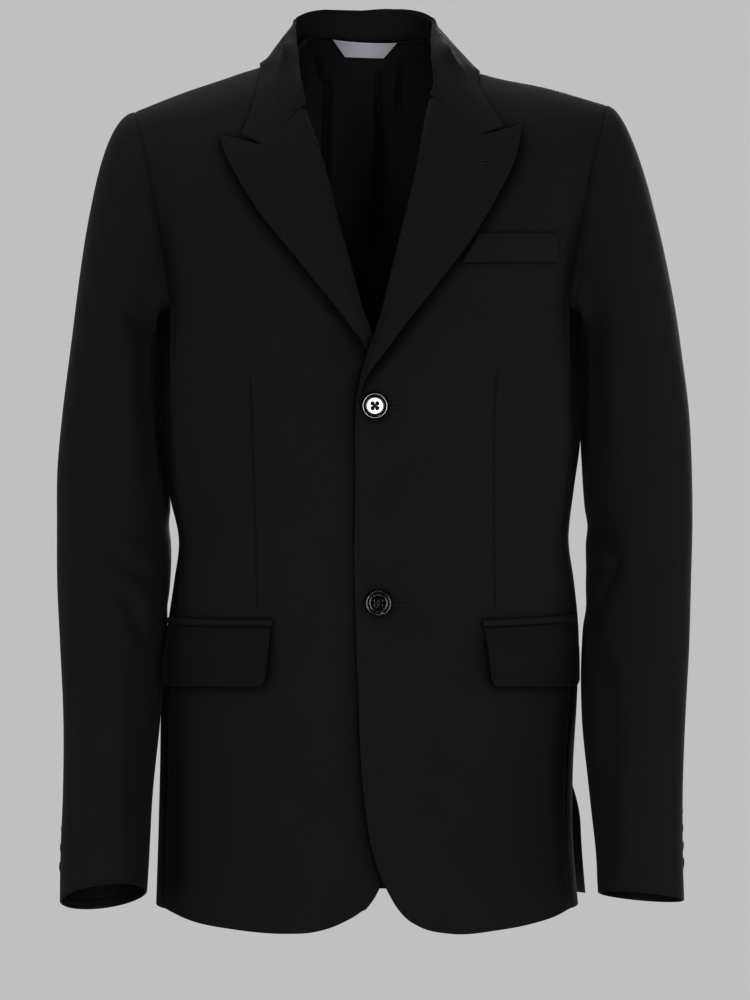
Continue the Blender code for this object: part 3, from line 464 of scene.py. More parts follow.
def on_torso(x, z, face, lift=0.0):
    """Points on the torso over a place in its front view, moved out by a lift, and their normals."""
    x, z = np.broadcast_arrays(np.asarray(x, float), np.asarray(z, float))
    points = np.stack([x, torso_y(x, z, face), z], -1)
    normals = torso_normals(points, face)
    return points + normals * np.asarray(lift, float)[..., None], normals


def run_on_torso(x, z, face):
    """How far along the torso each point of a row is from the row's start."""
    return run_along(on_torso(x, z, face)[0], 1)


print("chest depth in mm:", round(float(depth(-212, FRONT) + depth(-212, BACK))))

# %% [markdown]
# ## Cloth from a grid
#
# Every cut piece is made in one way. A grid of points lies on the form, about 4 mm apart. A second grid lies inside
# it by the thickness of the cloth, and their edges are joined, so the piece is closed like the real one. A turned
# and pressed edge isn't square: close to it the two faces come together in a half round, so a few extra rows go in
# there. Where a piece is sewn to its neighbour, the seam allowance behind pulls both down a little, and that makes
# the fine groove of a seam.
#
# Each piece also gets flat coordinates in metres, measured along the cloth, so that the weave lies true on it.


# %% Helpers that measure and resample a grid
def between(grid, at, axis):
    """A grid at fractional positions along one axis."""
    low = np.minimum(np.floor(at).astype(int), grid.shape[axis] - 2)
    share = (at - low).reshape([-1 if a == axis else 1 for a in range(grid.ndim)])
    return np.take(grid, low, axis) * (1 - share) + np.take(grid, low + 1, axis) * share


def run_along(points, axis):
    """The length run along each row or column of a grid."""
    steps = np.linalg.norm(np.diff(points, axis=axis), axis=-1)
    start = np.zeros_like(np.take(steps, [0], axis))
    return np.concatenate([start, np.cumsum(steps, axis)], axis)


def grid_normals(points, like=None):
    """Unit normals of a grid from its own neighbours, turned to point the same way as others."""
    n = np.cross(np.gradient(points, axis=1), np.gradient(points, axis=0))
    n /= np.maximum(np.linalg.norm(n, axis=-1, keepdims=True), 1e-9)
    return n if like is None else n * np.sign((n * like).sum())


def with_edge_rows(count):
    """Positions along a grid, with extra ones near both ends."""
    near = np.array([0, 0.08, 0.2, 0.38, 0.65])
    return np.concatenate([near, np.arange(1, count - 1), count - 1 - near[::-1]])


print("rows of a grid of 6:", with_edge_rows(6).round(2))

# %% The wall of cloth
CLOTH = 2.0  # twill with its fusing and seam allowance
SEAM_DIP = 0.4
SEAM_REACH = 2.0
EDGE_ROUND = 0.47  # an edge's radius as a share of the thickness: just under a half, so that the faces never meet


def edge_drop(away, thickness):
    """How far each face comes in near an edge, so that the edge is a half round."""
    r = EDGE_ROUND * thickness
    short = np.clip(r - away, 0, r)
    return r - np.sqrt(r**2 - short**2)


def shell_faces(rows, columns, wrapped):
    """Faces of a grid's outer and inner sides and of the edges between them, and which of them are inner."""
    index = np.arange(rows * columns).reshape(rows, columns)
    if wrapped:
        index = np.concatenate([index, index[:, :1]], axis=1)
    a, b, c, d = index[:-1, :-1], index[:-1, 1:], index[1:, 1:], index[1:, :-1]
    outer = np.stack([a, b, c, d], -1).reshape(-1, 4)
    inner = np.stack([a, d, c, b], -1).reshape(-1, 4) + rows * columns
    joins = []
    for edge, turned in ((index[0], True), (index[-1], False), (index[:, 0], False), (index[:, -1], True)):
        if wrapped and len(edge) == rows:
            continue
        p, q = (edge[1:], edge[:-1]) if turned else (edge[:-1], edge[1:])
        joins.append(np.stack([p, q, q + rows * columns, p + rows * columns], -1))
    joins = np.concatenate(joins)
    return np.concatenate([outer, inner, joins]), np.repeat([0, 1, 0], [len(outer), len(inner), len(joins)])


print("an edge 2 mm thick drops", edge_drop(0.0, CLOTH), "mm at its rim")


# %% A mesh, and what a piece is to the blazer
def add_mesh(name, points, faces, flat, materials, kinds=None):
    """A smooth mesh object from points in millimetres, with its flat coordinates and its materials."""
    data = bpy.data.meshes.new(name)
    data.from_pydata((points * MM).tolist(), [], faces.tolist() if isinstance(faces, np.ndarray) else faces)
    layer = data.uv_layers.new(name="cloth")
    corners = np.zeros(len(data.loops), np.int32)
    data.loops.foreach_get("vertex_index", corners)
    layer.data.foreach_set("uv", (flat[corners] * MM).astype(np.float32).ravel())
    for material in materials:
        data.materials.append(material)
    if kinds is not None:
        data.polygons.foreach_set("material_index", np.asarray(kinds, np.int32))
    data.shade_smooth()
    return add_object(name, data)


def worn(piece, slot, *nodes):
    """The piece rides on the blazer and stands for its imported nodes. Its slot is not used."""
    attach(piece, "root")
    if nodes:
        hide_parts(*nodes)
    size = [round(v / MM) for v in piece.dimensions]
    print(piece.name, "mm:", size, "faces:", len(piece.data.polygons))
    return piece


# %% One function for every piece of cloth
def cloth(node, points, normals, material, thickness=CLOTH, sewn=(0, 0, 0, 0), start=0.0, lining=None, facing=0.0,
          wrapped=False, anchor=0.0, slot="wool_twill"):
    """The cloth of a node, over a grid of points. Sewn says, for the first and last row and the first and last column,
    how strongly a seam pulls that edge down. Start is each row's flat coordinate at the anchor, a share of the width.
    The inside is of the lining, beyond a facing of that width."""
    rows = with_edge_rows(points.shape[0])
    columns = np.arange(points.shape[1]) if wrapped else with_edge_rows(points.shape[1])
    points, normals = (between(between(g, rows, 0), columns, 1) for g in (points, normals))
    across, down = run_along(points, 1), run_along(points, 0)
    sides = [down, down[-1:] - down, across, across[:, -1:] - across][: 2 if wrapped else 4]
    away = np.min(sides, axis=0)
    dip = sum(SEAM_DIP * s * hump(d, SEAM_REACH) for s, d in zip(sewn, sides))
    drop = edge_drop(away, thickness)
    outer = points - normals * (drop + dip)[..., None]
    inner = points - normals * (thickness - drop + dip)[..., None]
    if not np.isscalar(start):
        start = between(start, rows, 0)[:, None]
    middle = down[:, down.shape[1] // 2][:, None] + 0 * down
    faces, kinds = shell_faces(*points.shape[:2], wrapped)
    r, c = points.shape[0] // 2, points.shape[1] // 2
    way = np.cross(points[r, c + 1] - points[r, c], points[r + 1, c] - points[r, c]) @ normals[r, c]
    run = across - across[:, [round(anchor * (across.shape[1] - 1))]]
    flat = np.stack([np.sign(way) * run + start, middle], -1).reshape(-1, 2)  # the weave leans one way on all pieces
    if way < 0:
        faces = faces[:, ::-1]
    if lining is None:
        kinds = kinds * 0
    elif facing:
        first = faces[:, 0] % (points.shape[0] * points.shape[1])
        kinds = kinds * (across.reshape(-1)[first] > facing)
    vertices = np.concatenate([outer.reshape(-1, 3), inner.reshape(-1, 3)])
    materials = [material] if lining is None else [material, lining]
    piece = add_mesh(f"{node}_cloth", vertices, faces, np.concatenate([flat, flat]), materials, kinds)
    return worn(piece, slot, node)


print("edges of a piece that can be sewn:", len(cloth.__defaults__[1]))

# %% [markdown]
# ## Creases
#
# Cloth that is worn folds where it is pressed together and pulls into lines where it is stretched. A cloth
# simulation would find some folds, but not the ones this jacket has, so they are laid in one by one: each is a soft
# trough along a short line, or a ridge where its depth is negative, and it fades at both ends. Their lengths, depths
# and spacing are uneven on purpose.


# %% One function for every crease
def crease_table(*rows):
    """Each crease's two ends, how far it bows between them, and its width and depth."""
    return table("x0 z0 x1 z1 bow wide deep", *rows)


def creased(creases, x, z):
    """The depth of these creases at places of the front view."""
    total = np.zeros(np.broadcast(x, z).shape)
    for x0, z0, x1, z1, bow, wide, deep in zip(*creases.values()):
        long = math.hypot(x1 - x0, z1 - z0)
        along = ((x - x0) * (x1 - x0) + (z - z0) * (z1 - z0)) / long**2
        inside = np.clip(along, 0, 1)
        off = ((x - x0) * (z1 - z0) - (z - z0) * (x1 - x0)) / long - bow * np.sin(np.pi * inside)
        beyond = (along - inside) * long
        total += deep * (0.4 + 0.6 * np.sin(np.pi * inside)) * hump(off, wide) * hump(beyond, wide)
    return total


FRONT_CREASES = crease_table(
    # drape before each armhole
    (-172, -70, -166, -205, 4, 12, 2.2), (-152, -95, -148, -190, 2, 11, -1.0), (174, -75, 168, -205, -4, 12, 2.0),
    (153, -90, 150, -150, -2, 11, -0.9),
    # pulls from the top button
    (-6, -300, -74, -283, 3, 7, 0.7), (-8, -312, -88, -322, -4, 8, 0.6), (18, -310, 86, -330, 4, 8, 0.6),
    (24, -294, 80, -276, -3, 7, 0.5),
    # the waist
    (-150, -392, -104, -404, 3, 7, 0.8), (-154, -424, -112, -418, -2, 8, 0.7), (158, -396, 112, -406, -3, 8, 0.8),
    (160, -428, 120, -424, 2, 7, 0.6),
    # the skirt, hanging from the hips
    (-120, -560, -132, -690, 5, 20, 1.2), (-60, -590, -66, -700, -4, 22, 0.9), (118, -565, 126, -690, -5, 19, 1.2),
    (62, -600, 66, -705, 4, 20, 0.8),
)
BACK_CREASES = crease_table(
    # from the shoulder blades to under the arms
    (-160, -120, -120, -205, 8, 11, 1.8), (-142, -150, -96, -222, 7, 9, 1.1), (158, -112, 122, -196, -8, 11, 1.7),
    (146, -160, 90, -228, -7, 9, 1.2),
    # across the small of the back
    (-150, -396, -40, -410, 5, 8, 0.9), (-128, -432, -52, -436, -4, 9, 0.8), (150, -404, 52, -398, -5, 8, 0.9),
    (140, -440, 44, -428, 4, 10, 0.8), (-96, -560, -104, -700, 5, 20, 1.6), (92, -570, 102, -700, -5, 21, 1.5),
)
print("creases on the body:", len(FRONT_CREASES["x0"]) + len(BACK_CREASES["x0"]))

# %% [markdown]
# ## The fronts
#
# Each front is one piece of cloth from the hem, with its rounded corner, up to the shoulder seam. Its inner edge is
# the closing edge, then the roll line of the lapel, then the neck. A tailor shapes the flat piece to the waist with a
# dart: a narrow fold, sewn down inside, that shows only as a fine line. A grid that is even along the cloth would miss
# so fine a line, so its columns crowd together at the dart and follow it.

# %% The edges of the fronts
SEAM_LAP = 0.35  # how far pieces reach past their seam, so that a seam is a shallow groove
SEAM_ALLOWANCE = 5  # how far the sleeves and the collar go on inside their seams
SIDE_SEAM_FRONT = 0.955  # where the side piece begins and ends, as a share of the half width
SIDE_SEAM_BACK = 0.93
ARMHOLE = table("z front back",
    (-212, 0.955 * 180, 0.93 * 180),
    (-190, 175, 173.5), (-165, 177, 179), (-130, 181, 184), (-90, 188, 190.5), (-60, 196.5, 197.5),
    (-42, 201.5, 201.5),
)
EDGE = {
    LEFT: table("z x",
        (-697, 14), (-688.6, 10), (-664, 1.8), (-623, -4.8), (-582, -8.1), (-540, -9.7), (-475, -12.1),
        (-417, -12.9), (-360, -12.1), (-311, -12), (-295, -11.4), (-283, -9), (-265, -0.6), (-250, 6.8),
        (-234, 13.2), (-197, 23), (-156, 32.8), (-110, 43.2), (-72, 50.2), (-44, 56.5), (-24, 63), (-9, 69),
        (-3, 74),
    ),
    RIGHT: table("z x",
        (-697, 4), (-689, 10), (-664, 15), (-600, 21), (-500, 26), (-420, 28), (-310, 26), (-290, 18), (-270, 7.5),
        (-256, 1.6), (-242, -4), (-221, -11.4), (-189, -19.4), (-152, -29.2), (-114, -38.2), (-82, -47.4),
        (-53, -58), (-28, -64), (-8, -69.5), (0, -74),
    ),
}
HEM = {
    LEFT: table("x z",
        (14, -697), (20.7, -709.2), (29, -719.5), (41, -727.4), (66, -733.5), (107, -731.6), (150, -724.8),
        (172, -719),
    ),
    RIGHT: table("x z",
        (-172, -719), (-150, -726), (-115, -731), (-66, -733.5), (-49, -732.4), (-20, -723.2), (-8, -716),
        (0, -709.1), (4, -697),
    ),
}
SIDE_HEM_Z = -719
DARTS = {
    RIGHT: table("z x", (-469, -92.8), (-327, -96.6), (-255, -99)),
    LEFT: table("z x", (-469, 103.1), (-377, 102.1), (-294.5, 102.7), (-255, 105.1)),
}
print("front length in mm:", round(EDGE[RIGHT]["z"][-1] - HEM[RIGHT]["z"].min()))


# %% The grid of a front
STEP = 4.3  # between the grid's points
DOME_ROWS = 44
CROWD = np.array([-4, -2.4, -1.4, -0.8, -0.4, 0, 0.4, 0.8, 1.4, 2.4, 4])  # where the points beside a dart are


def dome_rises(rows=DOME_ROWS):
    """Even steps round the dome, as rises."""
    return np.sin(np.linspace(0, np.pi / 2, rows + 1)) ** (2 / DOME_POWER)


def settle(guess, step):
    """A value that a place and the height at that place agree on."""
    for _ in range(12):
        guess = step(guess)
    return guess


def armhole_x(side, face, rise):
    column = "front" if face == FRONT else "back"
    return settle(side * 185.0, lambda x: side * curve(ARMHOLE, column, dome_z(x, rise)))


def front_rows(side, shares):
    """X and Z of a front, row by row from hem to shoulder, at these shares of its width."""
    edge, hem = EDGE[side], HEM[side]
    hem_end = side * SIDE_SEAM_FRONT * half_width(SIDE_HEM_Z, side)
    hem_z = curve(hem, "z", edge["x"][0] + (hem_end - edge["x"][0]) * shares)
    hem_z += (SIDE_HEM_Z - hem_z[-1]) * ease((shares - 0.9) / 0.1)
    rows = []
    for seam_z in np.linspace(SIDE_HEM_Z, CHEST_Z, round((CHEST_Z - SIDE_HEM_Z) / STEP) + 1):
        up = (seam_z - SIDE_HEM_Z) / (CHEST_Z - SIDE_HEM_Z)
        z = (1 - up) * hem_z + up * CHEST_Z
        inner = curve(edge, "x", z[0])
        outer = side * SIDE_SEAM_FRONT * half_width(seam_z, side)
        rows.append((inner + (outer - inner) * shares, z))
    for rise in dome_rises()[1:]:
        inner = settle(side * 40.0, lambda x: curve(edge, "x", dome_z(x, rise)))
        x = inner + (armhole_x(side, FRONT, rise) - inner) * shares
        rows.append((x, dome_z(x, rise)))
    return np.stack(rows, axis=1)


def even_rows(x, z, face, crowd=None):
    """The same rows with their points even along the cloth, or crowded about one point of each row."""
    length = run_on_torso(x, z, face)
    total = length[:, -1]
    if crowd is None:
        places = total[:, None] * np.linspace(0, 1, round(total.max() / STEP) + 1)
    else:
        total, crowd, reach = total[:, None], crowd[:, None], CROWD[-1]
        inner = np.linspace(0, 1, round(crowd.max() / STEP))[:-1] * (crowd - reach)
        outer = crowd + reach + np.linspace(0, 1, round((total - crowd).max() / STEP))[1:] * (total - crowd - reach)
        places = np.concatenate([inner, crowd + CROWD, outer], axis=1)
    rows = [[np.interp(at, run, row) for row in pair] for at, run, *pair in zip(places, length, x, z)]
    return np.stack(rows, axis=1)


dense = np.linspace(0, 1, 260)
front_x, front_z = front_rows(LEFT, dense)
print("rows of a front:", len(front_x), "widest in mm:", round(run_on_torso(front_x, front_z, FRONT).max()))

# %% [markdown]
# The right front goes on under the left one where they overlap, so it is pressed in there. It also sinks a little
# beside the closing edge, because the upper layer holds it down at the buttons. That is what gives the edge its soft
# shadow.

# %% How the fronts lie
LAPEL_EDGE = {
    RIGHT: table("z x",
        (-270, 11), (-255, 0), (-243, -9.6), (-213, -32.5), (-172, -65.3), (-142, -89.3), (-123, -101.8),
        (-106, -111.1), (-90, -118.9), (-76.2, -123.4),
    ),
    LEFT: table("z x",
        (-297, -8.8), (-283, -5), (-274.5, -1.4), (-258.2, 10.8), (-237.8, 25.6), (-196.7, 57.4), (-163.6, 82.1),
        (-125.7, 104.6), (-100.1, 117.3), (-82, 122.6), (-67.7, 125),
    ),
}
LAPEL_SHADE = 3.2
HOLLOW_WIDE = 14
HOLLOW = table("z deep", (-390, 0), (-330, 2.2), (-262, 5.0), (-212, 5.0), (-165, 2.4), (-125, 0))
LAP_DEPTH = table("z deep", (-720, 3.2), (-320, 3.2), (-275, 5.6), (-243, 5.6), (-230, 0))
LAP_X, LAP_FADE = -22, 28
LAP_TOP_Z = -252  # from here down the right front sinks beside the closing edge
DART_DEPTH = 0.9
FRONT_FACING = 80
LAP_SHADE = table("z wide deep", (-720, 16, 4.6), (-640, 15, 4.2), (-540, 11, 3.4), (-461, 9, 2.6), (-380, 9, 3.0),
                  (-300, 8, 2.4), (-262, 7, 1.2))


def lap_lift(x, z):
    """How the right front lies: pressed in where the left one covers it, and sunk beside the closing edge."""
    pressed = -curve(LAP_DEPTH, "deep", z) * ease((x - LAP_X + LAP_FADE) / LAP_FADE)
    wide, deep = (curve(LAP_SHADE, column, z) for column in ("wide", "deep"))
    off = np.minimum(x - curve(EDGE[LEFT], "x", z) + 3, 0)
    return pressed - deep * hump(off, wide) * ease((LAP_TOP_Z - z) / 20)


def lapel_shade(side, x, z):
    """The hollow beside a lapel's outer edge, where the roll holds the front down."""
    edge = LAPEL_EDGE[side]
    off = side * (x - curve(edge, "x", z))
    held = ease((z - edge["z"][0]) / 30) * ease((edge["z"][-1] + 6 - z) / 20)
    return LAPEL_SHADE * hump(np.maximum(off, 0), 7) * ease((off + 18) / 18) * held


def armpit_hollow(z, run):
    """How the cloth sinks into the armpit, at a height and a distance from the seam in front of it."""
    return curve(HOLLOW, "deep", z) * hump(run, HOLLOW_WIDE)


def seam_hold(x, z, face):
    """Creases fade where the armhole seam holds the cloth."""
    run = run_on_torso(x, z, face)
    return np.where(z > CHEST_Z - 20, ease((run[:, -1:] - run) / 16), 1.0)


print("the right front lies under the left by", -round(float(lap_lift(20.0, -400.0)), 1), "mm")


# %% Make the fronts
def make_front(side):
    x, z = front_rows(side, dense)
    dart = DARTS[side]
    at = curve(dart, "x", z[:, 100])
    length = run_on_torso(x, z, FRONT)
    crowd = np.array([np.interp(side * a, side * row, run) for a, row, run in zip(at, x, length)])
    x, z = even_rows(x, z, FRONT, crowd)
    off = abs(x - curve(dart, "x", z))
    sewn = ease((z - dart["z"][0]) / 6) * ease((dart["z"][-1] - z) / 30)
    groove = DART_DEPTH * hump(off, 0.9) + 0.25 * hump(off, 5)
    lift = -creased(FRONT_CREASES, x, z) * seam_hold(x, z, FRONT) - groove * sewn - lapel_shade(side, x, z)
    run = run_on_torso(x, z, FRONT)
    lift -= armpit_hollow(z, run[:, -1:] - run)
    if side == RIGHT:
        lift += lap_lift(x, z)
    points, normals = on_torso(x, z, FRONT, lift)
    cloth(f"front_{SIDE_NAMES[side]}", points, normals, body_twill, sewn=(0, 1, 0, 1), start=x[:, 0],
          lining=lining_satin, facing=FRONT_FACING)


for side in (RIGHT, LEFT):
    make_front(side)

# %% [markdown]
# ## The backs and the side pieces
#
# The back is two pieces with a seam down the middle, and each is joined to its front by a narrow side piece. Below the
# waist the seam between back and side piece is left open as a vent: the side piece goes on under the back by a finger's
# width, and the back hangs freely over it. On the wearer's left it stands well off, as it does when a hand has been in
# the pocket, and shows its facing.

# %% Make the backs
BACK_HEM_Z = -720
BACK_NECK_Z = 20
NECK_POINT_X = 74
VENT_TOP_Z = -560
VENT_OPENING = 100
VENT_FLARE = {LEFT: 27.0, RIGHT: 3.5}
VENT_FACING_FROM = 140  # measured from the centre seam


def back_neck_z(x):
    return BACK_NECK_Z * np.clip(1 - (abs(x) / NECK_POINT_X) ** 6, 0, 1)


def back_top_z(x):
    """The shoulder seam, and the neckline between the neck points."""
    return np.where(abs(x) < NECK_POINT_X, np.minimum(back_neck_z(x), ridge_z(x)), ridge_z(x))


def back_rows(side, shares):
    rows = []
    for z in np.linspace(BACK_HEM_Z, CHEST_Z, round((CHEST_Z - BACK_HEM_Z) / STEP) + 1)[:-1]:
        x = side * SIDE_SEAM_BACK * half_width(z, side) * shares - side * SEAM_LAP * (1 - shares)
        rows.append((x, np.full_like(x, z)))
    for rise in dome_rises():
        x = armhole_x(side, BACK, rise) * shares - side * SEAM_LAP * (1 - shares)
        rows.append((x, CHEST_Z + rise * (back_top_z(x) - CHEST_Z)))
    return np.stack(rows, axis=1)


def vent_flare(side, x, z):
    open_share = ease((VENT_TOP_Z - z) / VENT_OPENING)
    near_edge = ease((abs(x) / half_width(z, side) - 0.45) / (SIDE_SEAM_BACK - 0.45))
    return VENT_FLARE[side] * open_share * near_edge


def make_back(side):
    x, z = even_rows(*back_rows(side, dense), BACK)
    creases = creased(BACK_CREASES, x, z) * seam_hold(x, z, BACK)
    points, normals = on_torso(x, z, BACK, vent_flare(side, x, z) - creases)
    # the back's inside, from the facing's start outwards, is the pale vent twill: painted light
    cloth(f"back_{SIDE_NAMES[side]}", points, normals, back_twill, sewn=(0, 1, 1, 1), lining=pale_vent_painted_light_twill,
          facing=VENT_FACING_FROM)


for side in (RIGHT, LEFT):
    make_back(side)

# %% Make the side pieces
UNDERARM_Z = -225
VENT_LAP = 18
VENT_TUCK = 2.9
VENT_TURN = 4  # the lap turns under the back from this far before the seam


def side_seam_y(z, face):
    share = SIDE_SEAM_FRONT if face == FRONT else SIDE_SEAM_BACK
    return face * depth(z, face) * (1 - share**RING_POWER) ** (1 / RING_POWER)


def underarm_z(y):
    """The bottom of the armhole, which rises to the chest line at both side seams."""
    front, back = (side_seam_y(CHEST_Z, face) for face in (FRONT, BACK))
    off = 2 * (y - front) / (back - front) - 1
    return UNDERARM_Z + (CHEST_Z - UNDERARM_Z) * np.minimum(off**2, 1)


def on_side(side, y, z):
    """Points on the torso's flank, over a place in its side view."""
    deep = depth_at(y, z)
    x = side * half_width(z, side) * (1 - (abs(y) / deep) ** RING_POWER) ** (1 / RING_POWER)
    points = np.stack([x, y, z], -1)
    return points, torso_normals(points)


def make_side(side):
    rows = []
    for z_row in np.linspace(SIDE_HEM_Z, UNDERARM_Z, round((UNDERARM_Z - SIDE_HEM_Z) / STEP) + 1):
        first, last = (side_seam_y(z_row, face) for face in (FRONT, BACK))
        vent = ease((VENT_TOP_Z - z_row) / 8)
        bent = last - VENT_TURN
        knots = [first + (bent - first) * 0.75, bent, last + VENT_LAP]
        end = last + SEAM_LAP + (VENT_LAP - SEAM_LAP) * vent
        turned = bent + (end - last + VENT_TURN) * np.array([0.25, 0.5, 0.75, 1])
        y = np.concatenate([np.linspace(first - SEAM_LAP, bent, 24), turned])
        z = np.full_like(y, z_row)
        top = ease((z_row - UNDERARM_Z + 12) / 12)
        z += (underarm_z(y) - UNDERARM_Z) * top
        points, normals = on_side(side, y, z)
        tuck = VENT_TUCK * ease((VENT_TOP_Z + 15 - z_row) / 15) * np.interp(y, knots, [0, 1, 1.05])
        sunk = tuck + armpit_hollow(z, y - first)
        rows.append((points - normals * sunk[:, None], normals))
    points, normals = np.stack(rows, axis=1)
    cloth(f"side_{SIDE_NAMES[side]}", points, normals, side_twill, sewn=(0, 1, 1, 0.6), lining=lining_satin)


for side in (RIGHT, LEFT):
    make_side(side)

# %% [markdown]
# ## The sleeves
#
# A tailored sleeve has two pieces, a wide top sleeve and a narrow under sleeve, and bends forward like a resting arm.
# It grows out of the armhole: the seam's own loop is measured round, and each point of it leads over the cap into a
# ring of the tube. The place round the sleeve is given as a share of a turn, 0 on the outside and a quarter in front.

# %% The sleeves' tables
SLEEVE = table("z right_outer right_inner left_outer left_inner y half_depth pitch",
    (-705, 256.5, 184.5, 260, 189, -78, 47, 18), (-680, 257, 183.5, 260, 188, -69, 47.5, 18),
    (-620, 256.5, 181.5, 261.5, 183.5, -48, 49, 18), (-560, 258, 176.5, 265.5, 178.6, -28, 51, 18),
    (-500, 262.5, 172.8, 270.5, 179.2, -8, 53, 16), (-450, 266, 169.8, 273, 183, 5, 55, 12),
    (-400, 267, 169.8, 275, 183.8, 13, 57, 7), (-350, 266.5, 172, 274.5, 181, 13, 59, 3),
    (-300, 261.5, 176, 271.5, 178.4, 9, 62, 1), (-245, 254, 178.5, 264, 178, 4, 66, 0),
)
SLEEVE_TOP_Z = -245
CUFF_Z = -705
SLEEVE_TWIST = 0.13  # the share of a turn that the seams wind round to the outside by the cuff
ARMHOLE_CLEAR = 0.3
CAP_FULL = {RIGHT: 94, LEFT: 70}  # how strongly the cap sets out sideways from the shoulder
CAP_OUT, CAP_AHEAD, CAP_UP, CAP_DOWN = 5, -14, 6, 20  # the rest of the way that it sets out
CAP_ARRIVE, CAP_ARRIVE_OVER = 22, 168  # how strongly it arrives at the tube, and how much more so over the top
FRONT_SEAM_AT, BACK_SEAM_AT = 0.33, 0.73
print("sleeve length in mm:", round(RIDGE["z"][-1] - CUFF_Z))


# %% The sleeve's surface
def sleeve_twist(z):
    return SLEEVE_TWIST * ease((SLEEVE_TOP_Z - z) / (SLEEVE_TOP_Z - CUFF_Z))


def sleeve_ring(side, turn, z):
    outer, inner = (curve(SLEEVE, f"{SIDE_NAMES[side]}_{edge}", z) for edge in ("outer", "inner"))
    y, deep, pitch = (curve(SLEEVE, column, z) for column in ("y", "half_depth", "pitch"))
    pitch = np.radians(pitch)
    angle = 2 * np.pi * (turn + sleeve_twist(z))
    off = -deep * np.sin(angle)
    x = side * ((outer + inner) / 2 + (outer - inner) / 2 * np.cos(angle))
    return np.stack(np.broadcast_arrays(x, y + off * np.cos(pitch), z - off * np.sin(pitch)), -1)


def armhole_loop(side, at):
    """A point of the armhole: 0 to 1 down the front, 1 to 2 under the arm, 2 to 3 up the back."""
    if at <= 1 or at >= 2:
        face = FRONT if at <= 1 else BACK
        rise = math.sin((1 - at if at <= 1 else at - 2) * math.pi / 2) ** (2 / DOME_POWER)
        x = armhole_x(side, face, rise)
        z = dome_z(x, rise)
        return np.array([x, float(torso_y(x, z, face)), z])
    seams = [side_seam_y(CHEST_Z, face) for face in (FRONT, BACK)]
    y = seams[0] + (at - 1) * (seams[1] - seams[0])
    return on_side(side, np.array([y]), np.array([underarm_z(y)]))[0][0]


def armhole_path(side, steps=120):
    """The loop that a sleeve is set into, and the share of its length at each point, from the top of the shoulder."""
    points = np.array([armhole_loop(side, at) for at in np.linspace(0, 3, 3 * steps + 1)])
    points[:, 0] += side * ARMHOLE_CLEAR
    run = run_along(points, 0)
    return points, run / run[-1]


ARMHOLES = {side: armhole_path(side) for side in (RIGHT, LEFT)}


def on_armhole(side, turn):
    points, run = ARMHOLES[side]
    turn = np.asarray(turn) % 1
    return np.stack([np.interp(turn, run, points[:, i]) for i in range(3)], -1)


def sleeve_base(side, turn, level):
    """A point of the plain sleeve. Levels 0 to 1 are the cap, from the armhole; a level below 0 is a height."""
    turn, level = np.broadcast_arrays(np.asarray(turn, float), np.asarray(level, float))
    tube = sleeve_ring(side, turn, np.where(level < 0, level, SLEEVE_TOP_Z))
    start = on_armhole(side, turn)
    over = (1 + np.cos(2 * np.pi * turn)) / 2
    ahead = CAP_AHEAD * np.sin(2 * np.pi * turn)
    leave = np.stack([side * (CAP_OUT + CAP_FULL[side] * over), ahead, CAP_UP * over - CAP_DOWN], -1)
    top = np.full_like(turn, SLEEVE_TOP_Z)
    arrive = (sleeve_ring(side, turn, top - 1) - tube) * (CAP_ARRIVE + CAP_ARRIVE_OVER * over)[..., None]
    s = np.clip(level, 0, 1)[..., None]
    return np.where((level < 0)[..., None], tube, bend(s, start, leave, tube, arrive))


def sleeve_normals(side, turn, level):
    low = np.where(level < 0, np.minimum(level + 0.5, SLEEVE_TOP_Z), np.clip(level - 0.01, 0, 1))
    high = np.where(level < 0, level - 0.5, np.clip(level + 0.01, 0, 1))
    down = sleeve_base(side, turn, high) - sleeve_base(side, turn, low)
    round_it = sleeve_base(side, turn + 0.004, level) - sleeve_base(side, turn - 0.004, level)
    return unit(np.cross(round_it, down) * side)


print("armhole round in mm:", round(float(run_along(ARMHOLES[LEFT][0], 0)[-1])))

# %% [markdown]
# A bent sleeve presses together inside the elbow and under the arm. The largest of these folds are in the packed
# solids already and are kept here; the finer ones are drawn over the front view for the face of each sleeve that
# looks forward, and again, a little differently, for the back.

